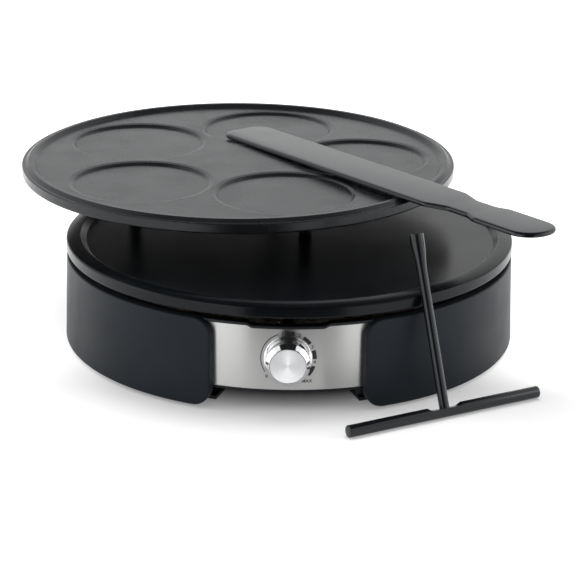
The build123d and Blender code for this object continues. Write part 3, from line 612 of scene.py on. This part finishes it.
# The drum's and cover's spark-eroded black plastic.
BLACK_PLASTIC = patchy(
    "moulded_black", (0.006, 0.0072, 0.009), 0.5,
    tones=((0.005, 0.0062, 0.008), (0.0075, 0.0088, 0.0108), 30.0),
    gloss=(0.4, 0.52, 90.0), grain=(1500.0, 0.6, 0.03),
    Specular_IOR_Level=0.3, Specular_Tint=cool_tint)

PANEL_STEEL = brushed_panel_steel()
# The knob's and trim ring's bright chrome, with faint wipe marks.
CHROME = patchy("chromed", (0.84, 0.845, 0.86), 0.07, metallic=1.0, gloss=(0.05, 0.12, 120.0))
SPUN = spun_metal()
# The two plates share one coating: the crepe plate's darker copy is a painted shade for the shade cast by the
# pancake plate, and the pancake plate's lighter copy a painted light.
COATING = non_stick(
    "plate_coating", (0.0025, 0.0035, 0.0045), (0.004, 0.005, 0.0062), (0.2, 0.26), 0.02, 0.18)
LIT_COATING_COPY = non_stick(
    "pancake_coating", (0.01, 0.011, 0.0125), (0.014, 0.015, 0.0165), (0.22, 0.3), 0.075, 0.31)

# The heat-resistant black paint under the plates.
UNDERSIDE = patchy(
    "black_underside", (0.004, 0.0045, 0.0055), 0.6,
    tones=((0.003, 0.0035, 0.0045), (0.006, 0.0065, 0.0075), 50.0),
    gloss=(0.5, 0.68, 120.0), grain=(1300.0, 0.6, 0.04), Specular_IOR_Level=0.1)

# The spatula's and spreader's satin black nylon.
NYLON = patchy(
    "satin_nylon", (0.006, 0.007, 0.0085), 0.18,
    tones=((0.005, 0.006, 0.0073), (0.0072, 0.0083, 0.0098), 40.0),
    gloss=(0.14, 0.2, 60.0), grain=(1800.0, 0.5, 0.006),
    Specular_IOR_Level=0.45, Specular_Tint=cool_tint)

# Matt black rubber for the feet and the cord's gland.
RUBBER = patchy(
    "feet_rubber", (0.02, 0.02, 0.021), 0.75,
    tones=((0.018, 0.018, 0.019), (0.032, 0.031, 0.03), 120.0),
    gloss=(0.65, 0.85, 150.0), grain=(2000.0, 0.7, 0.03))

# Bright zinc on the screws, nut, spindle and pins.
ZINC = patchy(
    "zinc_plate", (0.62, 0.63, 0.64), 0.3, metallic=1.0,
    tones=((0.58, 0.6, 0.62), (0.68, 0.67, 0.62), 300.0),
    gloss=(0.22, 0.4, 400.0), grain=(3000.0, 0.5, 0.01))

TRAY_STEEL = tray_sheet_steel()

# The element's oxidised steel tube, greenish grey with darker patches.
SHEATH = patchy(
    "element_sheath", (0.2, 0.19, 0.18), 0.45, metallic=0.85,
    tones=((0.13, 0.125, 0.115), (0.27, 0.25, 0.22), 45.0),
    gloss=(0.38, 0.6, 120.0), grain=(1600.0, 0.7, 0.03))

# Unglazed cream ceramic of the bushes, block and thermostat.
CERAMIC = patchy(
    "steatite", (0.72, 0.68, 0.58), 0.6,
    tones=((0.74, 0.7, 0.61), (0.66, 0.61, 0.5), 90.0),
    gloss=(0.5, 0.7, 200.0), grain=(2200.0, 0.8, 0.03))

BROWN_WIRE = wire_insulation("brown_wire", (0.11, 0.045, 0.022), (0.14, 0.06, 0.03))
BLUE_WIRE = wire_insulation("blue_wire", (0.03, 0.075, 0.3), (0.04, 0.1, 0.36))

# The matt black print of the dial and the knob's strokes.
INK = patchy(
    "dial_ink", (0.008, 0.008, 0.009), 0.5,
    tones=((0.007, 0.007, 0.008), (0.011, 0.011, 0.012), 300.0), gloss=(0.4, 0.55, 400.0))

kept_solids = {
    BLACK_PLASTIC: ["cord_clamp"],
    RUBBER: ["rubber_feet", "cord_gland"],
    ZINC: ["shell_screws", "bottom_screws", "element_pins", "thermostat_nut", "spindle", "thermal_fuse"],
    TRAY_STEEL: ["reflector_tray", "leg_pads", "element_brackets", "sensor_posts"],
    SHEATH: ["heating_element", "temperature_sensor"],
    CERAMIC: ["element_bushes", "thermostat", "terminal_block"],
    COATING: ["crepe_plate_legs", "pancake_plate_legs"],
    BROWN_WIRE: ["live_wire_rear", "live_wire_front", "switched_wire"],
    BLUE_WIRE: ["neutral_wire"],
}
for material, names in kept_solids.items():
    for name in names:
        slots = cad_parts[name].data.materials
        slots.clear()
        slots.append(material)


# ---- housing
def grip_drop(x, y):
    """How far the lip and the panel's upper edge dip at the finger recess."""
    if y > 0:
        return 0.0
    return grip_depth * (1 - eased((abs(x) - grip_half_width) / grip_slope))


def foot_rise(x, y):
    """How far the drum's lower edge is raised between the shells, up to the panel's sill."""
    turn = degrees(atan2(abs(x), -y))
    return (sill_low - drum_bottom) * (1 - eased((turn - open_foot_angle) / open_foot_slope))


def drum():
    """The black drum, open at the foot in front, with the tray's ledge and the cover's bosses."""
    inner = drum_radius - drum_wall
    ledge_inner = inner - drum_ledge_width
    ledge_bottom = drum_ledge_z - drum_ledge_thickness
    foot_top = drum_bottom + drum_foot_edge + 2 * support
    outline = rounded([
        (inner, drum_bottom, fine_edge), (drum_radius, drum_bottom, drum_foot_edge),
        (drum_radius, lip_top, small_edge), (inner, lip_top, small_edge), (inner, drum_ledge_z, fine_edge),
        (ledge_inner, drum_ledge_z, small_edge), (ledge_inner, ledge_bottom, small_edge),
        (inner, ledge_bottom - drum_ledge_width, small_edge),
    ], closed=True, steps=4)
    rings = []
    for ring in turned_rings(outline, steps=540):
        placed = []
        for x, y, z in ring:
            if z > lip_top - lip_thickness:
                z -= grip_drop(x, y)
            elif z < foot_top:
                z += foot_rise(x, y)
            placed.append((x, y, z))
        rings.append(placed)
    surfaces = [skin(rings, join_ends=True)]
    low = drum_bottom + cover_thickness + seam_gap
    high = low + boss_height
    boss = [(boss_hole, low), (boss_radius, low), (boss_radius, high), (boss_hole, high)]
    for centre in spread_round((0.0, 0.0), inner - boss_inset, boss_count, boss_turn):
        surfaces.append(skin(turned_rings(boss, centre, steps=32), join_ends=True))
    piece = make_piece("drum", *gathered(surfaces))
    dress(piece, "base", BLACK_PLASTIC, "housing_plastic", "inner_housing")


def bent_strip(name, angle, inner, outer, low, high, edge, dip_above, columns=240):
    """A strip bent round the front, dipped at the finger recess above a height."""
    corners = [(inner, low, edge), (outer, low, edge), (outer, high, edge), (inner, high, edge)]
    sections = []
    for i in range(columns + 1):
        turn = radians(-90 + angle * (2 * i / columns - 1))
        section = []
        for r, z in rounded(corners, closed=True, steps=2):
            x = r * cos(turn)
            y = r * sin(turn)
            dip = grip_drop(x, y) if z > dip_above else 0.0
            section.append((x, y, z - dip))
        sections.append(section)
    return make_piece(name, *skin(sections))


def bottom_cover():
    """The cover from its own solid, cut back under the panel so that the floor shows there."""
    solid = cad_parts["bottom_cover"]
    shape = bmesh.new()
    shape.from_mesh(solid.data)
    shape.transform(solid.matrix_world)
    bmesh.ops.remove_doubles(shape, verts=shape.verts, dist=same_place)
    half = open_foot_half_width * MM
    front = (open_foot_depth - drum_radius) * MM
    flare = open_foot_flare
    reach = half + front * flare
    for x, normal in ((0, (0, 1, 0)), (half, (1, flare, 0)), (-half, (-1, flare, 0))):
        everything = shape.verts[:] + shape.edges[:] + shape.faces[:]
        bmesh.ops.bisect_plane(
            shape, geom=everything, plane_co=(x, front, 0), plane_no=normal, dist=on_plane)
    gone = []
    for face in shape.faces:
        middle = face.calc_center_median()
        if middle.y < front and abs(middle.x) + flare * middle.y < reach:
            gone.append(face)
    bmesh.ops.delete(shape, geom=gone, context="FACES")
    low = drum_bottom * MM
    high = low + cover_thickness * MM
    radius = (drum_radius - drum_wall - seam_gap) * MM
    spread = 1 + flare * flare
    root = sqrt((reach * flare) ** 2 - spread * (reach * reach - radius * radius))
    end_y = (reach * flare - root) / spread
    end_x = reach - flare * end_y
    corners = [(-end_x, end_y), (-half, front), (half, front), (end_x, end_y)]
    for (x, y), (next_x, next_y) in zip(corners, corners[1:]):
        wall = [(x, y, low), (next_x, next_y, low), (next_x, next_y, high), (x, y, high)]
        shape.faces.new([shape.verts.new(corner) for corner in wall])
    bmesh.ops.remove_doubles(shape, verts=shape.verts, dist=same_place)
    piece = crisp_piece("cut_back_cover", shape)
    dress(piece, "base", BLACK_PLASTIC, "housing_plastic", "bottom_cover")


def front_strips():
    """The sill that the panel stands on, the drum's lip over it, and the curved steel panel."""
    wall = drum_radius - strip_inset
    sill = bent_strip("panel_sill", sill_half_angle, wall, sill_radius, sill_low, sill_high, sill_edge,
                      sill_high, columns=120)
    dress(sill, "base", BLACK_PLASTIC, "housing_plastic")
    angle = degrees(asin(lip_half_width / lip_radius))
    lip = bent_strip("front_lip", angle, wall, lip_radius, lip_top - lip_thickness, lip_top, small_edge, 0.0)
    dress(lip, "base", BLACK_PLASTIC, "housing_plastic")
    angle = degrees(asin(panel_half_width / panel_outer))
    inner = panel_outer - panel_thickness
    middle = (panel_bottom + panel_top) / 2
    panel = bent_strip("steel_panel", angle, inner, panel_outer, panel_bottom, panel_top, panel_edge, middle)
    dress(panel, "base", PANEL_STEEL, "brushed_panel", "front_panel")


def shell_end(gap_angle, inset):
    """A shell's rounded corner beside a gap, from half its height up, as (angle, height)."""
    radius = shell_corner - inset
    top = shell_top - inset
    start = shell_radius * sin(radians(gap_angle)) + inset
    end = [(start, (shell_top + shell_bottom) / 2), (start, top - radius - support)]
    for turn in quarter_turn(shell_corner_steps):
        end.append((start + radius - radius * cos(turn), top - radius + radius * sin(turn)))
    return [(asin(x / shell_radius), z) for x, z in end]


def shell_border(inset):
    """Upper half of a shell's outline, front to rear, as (angle, height) with its rounded ends."""
    front = [(-pi / 2 + angle, z) for angle, z in shell_end(front_gap_angle, inset)]
    rear = [(pi / 2 - angle, z) for angle, z in shell_end(rear_gap_angle, inset)]
    first = front[-1][0]
    last = rear[-1][0]
    steps = shell_run_steps
    run = [(first + (last - first) * i / steps, shell_top - inset) for i in range(1, steps)]
    return front + run + rear[::-1]


def side_shell(name, side, node):
    """A C-shaped shell with rounded outer edges, a slight draft and returns inward to the drum."""
    inner = panel_outer + seam_gap
    skin_radius = shell_radius - shell_wall
    levels = [(shell_edge + support, shell_radius)]
    for turn in quarter_turn(shell_edge_steps):
        levels.append((shell_edge * (1 - sin(turn)), shell_radius - shell_edge * (1 - cos(turn))))
    levels += [(0.0, inner), (shell_wall, inner), (shell_wall, skin_radius)]
    middle = (shell_top + shell_bottom) / 2
    rings = []
    for inset, radius in levels:
        upper = shell_border(inset)
        lower = [(a, 2 * middle - z) for a, z in upper[1:-1]]
        ring = []
        for a, z in upper + lower[::-1]:
            here = radius if radius == inner else radius + shell_draft * (middle - z)
            ring.append((side * here * cos(a), here * sin(a), z))
        rings.append(ring)
    points, faces = skin(rings, first_cap=False, last_cap=False)
    count = len(rings[0])
    across = len(shell_border(0.0))
    for start in (0, len(points) - count):
        for j in range(across - 1):
            below = [start + (count - i) % count for i in (j, j + 1)]
            corners = [start + j, start + j + 1, below[1], below[0]]
            faces.append(tuple(dict.fromkeys(corners)))
    piece = make_piece(name, points, faces)
    dress(piece, "base", SOFT_TOUCH, "shell_plastic", node)


drum()
bottom_cover()
front_strips()
side_shell("left_shell", -1, "left_side_shell")
side_shell("right_shell", 1, "right_side_shell")


# ---- dial print
print_lift = 0.05
print_depth = 0.03
arc_radius = 18.5
arc_width = 0.6
arc_start = 236.6  # clockwise from the top, as all the dial's angles
arc_end = 339.0
dash_radius = 18.2
dashes = ((3.5, 6.4, 2.3), (45.0, 6.4, 2.5), (82.0, 6.4, 2.7), (120.0, 7.5, 2.9))
number_radius = 18.4
number_height = 3.3
number_weight = 0.07  # by which the numbers are fattened
numbers = (("0", 227.0, 19.8), ("1", -12.0, number_radius), ("2", 25.0, number_radius),
           ("3", 64.0, number_radius), ("4", 99.0, number_radius), ("MAX", 142.0, 21.1))


def on_panel(across, up, lift):
    """A place on the panel's face, from the dial's middle."""
    radius = panel_outer + lift
    return across, -sqrt(radius * radius - across * across), knob_z + up


def dial_stroke(radius, width, start, end):
    """A curved stroke of print between two angles of the dial."""
    steps = max(4, int((end - start) / 2))
    sections = []
    for i in range(steps + 1):
        angle = radians(start + (end - start) * i / steps)
        section = []
        for side, level in square:
            r = radius + side * width / 2
            lift = print_lift if level > 0 else -print_depth
            section.append(on_panel(r * sin(angle), r * cos(angle), lift))
        sections.append(section)
    return skin(sections)


def dial_word(word, angle, radius):
    """A number or word of the dial, upright, as points and faces."""
    curve = bpy.data.curves.new("dial_word", "FONT")
    curve.body = word
    curve.size = number_height
    curve.align_x = "CENTER"
    curve.align_y = "CENTER"
    curve.offset = number_weight
    curve.extrude = (print_lift + print_depth) / 2
    holder = bpy.data.objects.new("dial_word", curve)
    mesh = bpy.data.meshes.new_from_object(holder)
    across = radius * sin(radians(angle))
    up = radius * cos(radians(angle))
    middle = (print_lift - print_depth) / 2
    points = [on_panel(across + v.co.x, up + v.co.y, middle + v.co.z) for v in mesh.vertices]
    faces = [tuple(face.vertices) for face in mesh.polygons]
    bpy.data.objects.remove(holder)
    bpy.data.meshes.remove(mesh)
    bpy.data.curves.remove(curve)
    return points, faces


def dial_print():
    """The scale round the knob: a thin arc, thickening dashes and generic numbers."""
    marks = [dial_stroke(arc_radius, arc_width, arc_start, arc_end)]
    for spot, length, width in dashes:
        half = degrees(length / dash_radius) / 2
        marks.append(dial_stroke(dash_radius, width, spot - half, spot + half))
    for word, angle, radius in numbers:
        marks.append(dial_word(word, angle, radius))
    piece = make_piece("dial_print", *gathered(marks))
    dress(piece, "base", INK, "housing_plastic")


dial_print()


# ---- knob
def trim_ring():
    """The chromed ring on the panel behind the knob."""
    back = panel_outer - bezel_sink
    face = -bezel_front
    outline = rounded([
        (bezel_hole, back, bezel_back_edge), (bezel_radius, back, bezel_back_edge),
        (bezel_radius, face, bezel_edge), (bezel_hole, face, fine_edge)], closed=True, steps=4)
    piece = make_piece("trim_ring", *skin(forward_rings(outline), join_ends=True))
    dress(piece, "base", CHROME, "chrome", "knob_bezel")


def control_knob():
    """The chromed knob with its broad bevel and the seat of its cap."""
    cavity = knob_back + knob_cavity_depth
    seat = cap_radius + cap_side_gap
    seat_depth = -cap_rear - cap_seat_gap
    outline = rounded([
        (knob_hole, cavity, 0), (knob_cavity_radius, cavity, fine_edge),
        (knob_cavity_radius, knob_back, fine_edge), (knob_radius, knob_back, knob_back_edge),
        (knob_radius, knob_face - knob_bevel_depth, small_edge),
        (knob_radius - knob_bevel, knob_face, knob_face_edge), (seat, knob_face, cap_seat_edge),
        (seat, seat_depth, cap_back_edge), (knob_hole, seat_depth, 0)], steps=5)
    piece = make_piece("chrome_knob", *skin(forward_rings(outline, steps=160)))
    dress(piece, "control_knob", CHROME, "chrome", "knob")


def spun_cap():
    """The spun metal disc in the knob's face, on its own axis."""
    thickness = cap_rear - cap_front
    outline = rounded([
        (cap_radius - cap_back_flat, -thickness, 0), (cap_radius, -thickness, cap_back_edge),
        (cap_radius, 0, cap_face_edge), (cap_radius * cap_middle_share, 0, 0)], steps=4)
    piece = make_piece("spun_cap", *skin(turned_rings(outline, steps=160)))
    place = Matrix.Translation(Vector((0, cap_front, knob_z)) * MM)
    piece.matrix_world = place @ Matrix.Rotation(pi / 2, 4, "X")
    dress(piece, "control_knob", SPUN, "spun_aluminium", "knob_cap")


def pointer_marks():
    """The two dark strokes across the knob's bevel, at its pointer and opposite."""
    slope = Vector((knob_bevel, knob_bevel_depth)).normalized()
    strokes = []
    for angle in pointer_angles:
        turn = radians(angle)
        sections = []
        for share in pointer_span:
            radius = knob_radius - knob_bevel * share
            forward = knob_face - knob_bevel_depth * (1 - share)
            section = []
            for side, level in square:
                r = radius + level * pointer_lift * slope.y
                d = forward + level * pointer_lift * slope.x
                across = r * sin(turn) + side * pointer_half_width * cos(turn)
                up = r * cos(turn) - side * pointer_half_width * sin(turn)
                section.append((across, -d, knob_z + up))
            sections.append(section)
        strokes.append(skin(sections))
    piece = make_piece("pointer_marks", *gathered(strokes))
    dress(piece, "control_knob", INK, "housing_plastic")


trim_ring()
control_knob()
spun_cap()
pointer_marks()


# ---- plates
def crepe_plate():
    """The crepe plate: a shallow dish inside a rim with a gently crowned top."""
    rim_inner = plate_radius - rim_width
    skirt = plate_radius - skirt_width
    step = crepe_underside - rim_bottom
    crest = rim_top + rim_crown_lift
    crown = []
    for i in range(rim_crown_steps, 0, -1):
        tilt = radians(rim_crown_tilt * i / rim_crown_steps)
        crown.append((rim_inner + rim_crown * sin(tilt), crest - rim_crown * (1 - cos(tilt)), 0))
    crown_edge, crown_height, _ = crown[0]
    corner_height = crown_height - (plate_radius - crown_edge) * tan(radians(rim_crown_tilt))
    outline = rounded([
        (middle_radius, crepe_underside, 0), (skirt - step, crepe_underside, small_edge),
        (skirt, rim_bottom, small_edge), (plate_radius, rim_bottom, rim_foot_edge),
        (plate_radius, corner_height, rim_edge), *crown, (rim_inner, crest, rim_inner_edge),
        (rim_inner - dish_slope, cooking_face, dish_edge), (middle_radius, cooking_face, 0)])
    piece = make_piece("crepe_griddle", *skin(turned_rings(outline, steps=320)))
    dress(piece, "crepe_plate", COATING, "plate_coating", "crepe_plate")
    paint_underside(piece)


def pancake_plate():
    """The pancake plate: a bead inside its narrow flat rim and five soft-edged wells in its land."""
    land = pancake_top - bead_height
    core = plate_radius - pancake_core_inset
    core_foot = core + pancake_edge_bottom - pancake_underside
    bead_outer = plate_radius - shoulder_width
    crest_outer = bead_outer - bead_outer_slope
    crest_inner = crest_outer - bead_crest
    land_radius = crest_inner - bead_inner_slope
    shoulder = land + shoulder_height
    outline = rounded([
        (middle_radius, pancake_underside, 0), (core, pancake_underside, pancake_core_edge),
        (core_foot, pancake_edge_bottom, pancake_core_edge),
        (plate_radius, pancake_edge_bottom, pancake_foot_edge),
        (plate_radius, shoulder, pancake_rim_edge), (bead_outer, shoulder, bead_root_edge),
        (crest_outer, pancake_top, bead_crest_edge),
        (crest_inner, pancake_top - bead_crest_fall, bead_crest_edge),
        (land_radius, land, bead_root_edge), (land_radius - land_border, land, 0)])
    surfaces = [skin(turned_rings(outline, pancake_centre, steps=320), last_cap=False)]
    floor = land - well_depth
    well = rounded([
        (well_radius + well_border, land, 0), (well_radius + well_shoulder, land, well_outer_edge),
        (well_radius - well_shoulder, land - well_shoulder_drop, well_inner_edge),
        (well_radius - well_slope, floor, well_floor_edge), (well_middle, floor, 0)])
    for centre in spread_round(pancake_centre, well_circle, well_count, well_turn):
        surfaces.append(skin(turned_rings(well, centre, steps=160), first_cap=False))
    piece = make_piece("pancake_griddle", *gathered(surfaces), fill_holes=True)
    dress(piece, "pancake_plate", LIT_COATING_COPY, "plate_coating_grey", "pancake_plate")
    paint_underside(piece)


crepe_plate()
pancake_plate()


# ---- tools
def drawn_in(outline, inset):
    """A closed outline moved inward by the inset along its own normals."""
    moved = []
    count = len(outline)
    for i, here in enumerate(outline):
        along = (outline[(i + 1) % count] - outline[i - 1]).normalized()
        moved.append(here + Vector((-along.y, along.x)) * inset)
    return moved


def tool_piece(name, surface, place, body, node):
    """A nylon piece from a surface in its own frame, put in its place."""
    points, faces = surface
    piece = make_piece(name, [place @ Vector(point) for point in points], faces)
    dress(piece, body, NYLON, "tool_plastic", node)


def spatula():
    """The long turning spatula: rounded blade, waist and handle, with softly bevelled edges."""
    half = spatula_width / 2
    waist = waist_width / 2
    grip = handle_width / 2
    waist_start = blade_length + waist_slope
    waist_end = waist_start + waist_length
    side = [
        (0.0, -half, spatula_tip_corner), (blade_length, -half, waist_round),
        (waist_start, -waist, waist_round), (waist_end, -waist, waist_round),
        (waist_end + waist_slope / 2, -grip, waist_round), (spatula_length, -grip, grip - handle_end_flat)]
    corners = side + [(x, -y, r) for x, y, r in reversed(side)]
    outline = rounded(corners, closed=True, steps=10)
    levels = [(spatula_edge, 0.0), (0.0, spatula_edge), (0.0, spatula_thickness - spatula_side_drop)]
    levels += [(inset, spatula_thickness - drop) for inset, drop in spatula_bevel]
    rings = []
    for inset, z in levels:
        rings.append([(point.x, point.y, z) for point in drawn_in(outline, inset)])
    slope = bead_height / (spatula_rim_reach - spatula_land_reach)
    underside = pancake_top - bead_height + spatula_seat_gap - slope * spatula_land_reach
    place = Matrix.Translation((*spatula_tip, underside))
    place @= Matrix.Rotation(radians(spatula_heading), 4, "Z") @ Matrix.Rotation(-atan(slope), 4, "Y")
    tool_piece("turning_spatula", skin(rings), place, "spatula", "spatula")


def spreader_place():
    """Frame of the spreader: X along the bar, Z up the rod that leans on the rim."""
    joint = Matrix.Translation((spreader_shift, -spreader_away, bar_radius))
    return Matrix.Rotation(radians(bar_heading), 4, "Z") @ joint @ Matrix.Rotation(radians(-rod_lean), 4, "X")


def spreader_bar():
    """The round bar with its flattened middle and softened ends."""
    half = bar_length / 2
    low = bar_radius - bar_flat_depth
    scoop_run = sqrt(bar_scoop ** 2 - (bar_scoop - bar_flat_depth) ** 2)
    flat_end = bar_flat_half_length + scoop_run
    spots = [(-half, bar_radius - bar_edge)]
    for turn in quarter_turn(round_steps, 1):
        spots.append((-half + bar_edge * (1 - cos(turn)), bar_radius - bar_edge * (1 - sin(turn))))
    spots += [(-flat_end - support, bar_radius)]
    spots += [(-flat_end + scoop_run * i / bar_scoop_steps, bar_radius) for i in range(bar_scoop_steps + 1)]
    spots += [(-bar_flat_half_length + bar_flat_border, bar_radius)]
    spots += [(-x, r) for x, r in reversed(spots)]
    rings = []
    for x, radius in spots:
        beyond = min(max(abs(x) - bar_flat_half_length, 0.0), scoop_run)
        limit = low + bar_scoop - sqrt(bar_scoop ** 2 - beyond ** 2)
        rings.append([(x, radius * cos(a), min(radius * sin(a), limit)) for a in full_turn(bar_sides)])
    tool_piece("spreader_crossbar", skin(rings), spreader_place(), "spreader", "spreader_bar")


def spreader_rod():
    """The handle rod, flared towards its flat end, with its foot let into the bar's flat."""
    low = bar_radius - bar_flat_depth
    flare = rod_length - rod_flare_length
    flare_run = rod_flare_length - rod_tip_length
    outline = [(rod_radius - small_edge, low - rod_foot_sink), (rod_radius, low),
               (rod_radius, low + support), (rod_radius, flare - rod_flare_lead)]
    for step in range(rod_flare_steps + 1):
        share = step / rod_flare_steps
        outline.append((rod_radius + (rod_tip_radius - rod_radius) * eased(share), flare + flare_run * share))
    outline.append((rod_tip_radius, rod_length - rod_tip_edge - support))
    for turn in quarter_turn(round_steps):
        radius = rod_tip_radius - rod_tip_edge * (1 - cos(turn))
        outline.append((radius, rod_length - rod_tip_edge * (1 - sin(turn))))
    surface = skin(turned_rings(outline, steps=64))
    tool_piece("spreader_handle", surface, spreader_place(), "spreader", "spreader_rod")


spatula()
spreader_bar()
spreader_rod()


# ---- floor, light and camera
floor_half = 6.0  # metres, as all sizes from here on
painted_lift_depth = (-0.13, -0.04)  # over which the floor's glow rises rearwards: a painted light that washes out the shadow beside and behind the object
painted_lift_levels = (0.25, 0.72)
white_reach = (0.2, 0.42)  # from the middle, over which the floor turns white
painted_shade_reach = (0.12, 0.17)  # within which the glow fades out: a painted shadow edge round the object, which keeps its full shade inside

white = (1.0, 1.0, 1.0, 1.0)
ambient = 0.42
lamp_aim = (0, 0, 0.05)
lamps = {  # place, size and power, and whether it is mirrored
    "overhead": ((0.0, 0.5, 1.9), 1.5, 30.0, False),
    "left_side": ((-1.9, -0.2, 0.75), 1.3, 7.5, True),
    "right_side": ((1.9, -0.1, 0.75), 1.3, 7.5, True),
}
cards = {  # corners and brightness of each: the dark ones paint dark reflections, and the bright one glows in the reflections only, a painted reflection of light
    "card_above": ([(-1.3, -2.6, 2.2), (1.3, -2.6, 2.2), (1.3, 2.6, 2.2), (-1.3, 2.6, 2.2)], 0.015),
    "card_front": ([(-0.9, -2.6, 0.0), (1.2, -2.6, 0.0), (1.2, -2.6, 2.2), (-0.9, -2.6, 2.2)], 0.02),
    "card_floor": ([(-0.09, -0.3, 0.002), (0.12, -0.3, 0.002), (1.2, -2.6, 0.002), (-0.9, -2.6, 0.002)],
                   0.03),
    "card_left": ([(-0.75, -1.5, 0.0), (-1.25, -1.1, 0.0), (-1.25, -1.1, 0.9), (-0.75, -1.5, 0.9)], 2.0),
}

camera_place = (0.0009, -1.45, 0.552)
camera_tilt = 70.24  # degrees up from straight down
camera_roll = 0.6
camera_lens = 127.33
film_width = 36.0
view_depth = 50.0


def seen_directly(tree):
    """1 where a surface is seen by the camera, in a mirror or through glass."""
    path = add(tree, "ShaderNodeLightPath")
    seen = maths(tree, "MAXIMUM", path.outputs["Is Camera Ray"], path.outputs["Is Glossy Ray"])
    return maths(tree, "MAXIMUM", seen, path.outputs["Is Transmission Ray"])


def studio_sheet(name, points, finish_name, colour):
    """A flat matt sheet of the studio that can shine of itself, and its shader."""
    mesh = bpy.data.meshes.new(name)
    mesh.from_pydata(points, [], [tuple(range(len(points)))])
    material, shader = finish(finish_name, colour, 0.9, Specular_IOR_Level=0.0)
    shader.inputs["Emission Color"].default_value = white
    mesh.materials.append(material)
    return linked(name, mesh), shader


def studio_floor():
    """A pale floor that takes the soft shadow, and turns plain white away from the object; its glow paints
    the shadow's edge round the object and washes the shadow out beside and behind it.
    """
    corners = [(x * floor_half, y * floor_half, 0) for x, y in square]
    floor, shader = studio_sheet("studio_floor", corners, "floor_paper", (0.8, 0.8, 0.8))
    tree = shader.id_data
    place = object_place(tree)
    reach = distance(tree, place)
    depth = add(tree, "ShaderNodeSeparateXYZ", {"Vector": place}).outputs["Y"]
    # the glow rises rearwards as a painted light over the shadow, and fades out near the object to paint the
    # shadow's edge
    beside = mapped(tree, depth, *painted_lift_depth, *painted_lift_levels, "SMOOTHSTEP")
    away = mapped(tree, reach, *white_reach, curve="SMOOTHSTEP")
    clear = mapped(tree, reach, *painted_shade_reach, curve="SMOOTHSTEP")
    glow = maths(tree, "MULTIPLY", maths(tree, "MAXIMUM", beside, away), clear)
    feed(shader, "Emission Strength", maths(tree, "MULTIPLY", seen_directly(tree), glow))


def soft_lamp(name, place, size, power, mirrored):
    """A large disc of soft light, turned to the object."""
    lamp = bpy.data.lights.new(name, "AREA")
    lamp.shape = "DISK"
    lamp.size = size
    lamp.energy = power
    holder = linked(name, lamp)
    holder.location = place
    holder.rotation_euler = (Vector(lamp_aim) - holder.location).to_track_quat("-Z", "Y").to_euler()
    holder.visible_glossy = mirrored


def painted_reflection_card(name, points, brightness):
    """A card that shows only in the reflections, as a soft painted reflection."""
    card, shader = studio_sheet(name, points, name, (0.0, 0.0, 0.0))
    shader.inputs["Emission Strength"].default_value = brightness
    card.visible_camera = False
    card.visible_diffuse = False
    card.visible_transmission = False
    card.visible_shadow = False


def studio_light():
    """A white surround, the soft lamps, and three dark cards and a bright one that only paint reflections."""
    world = bpy.data.worlds.new("studio")
    bpy.context.scene.world = world
    world.use_nodes = True
    tree = world.node_tree
    background = tree.nodes["Background"]
    background.inputs["Color"].default_value = white
    feed(background, "Strength", mapped(tree, seen_directly(tree), low=ambient))
    for name, lamp in lamps.items():
        soft_lamp(name, *lamp)
    for name, card in cards.items():
        painted_reflection_card(name, *card)


def camera():
    """A long lens in front, looking down by twenty degrees."""
    view = bpy.data.cameras.new("front_view")
    view.sensor_fit = "HORIZONTAL"
    view.sensor_width = film_width
    view.lens = camera_lens
    view.clip_end = view_depth
    holder = linked("front_view", view)
    turn = Matrix.Rotation(radians(camera_tilt), 4, "X") @ Matrix.Rotation(radians(camera_roll), 4, "Z")
    holder.matrix_world = Matrix.Translation(camera_place) @ turn
    bpy.context.scene.camera = holder


studio_floor()
studio_light()
camera()
bpy.context.scene.view_settings.view_transform = "Standard"
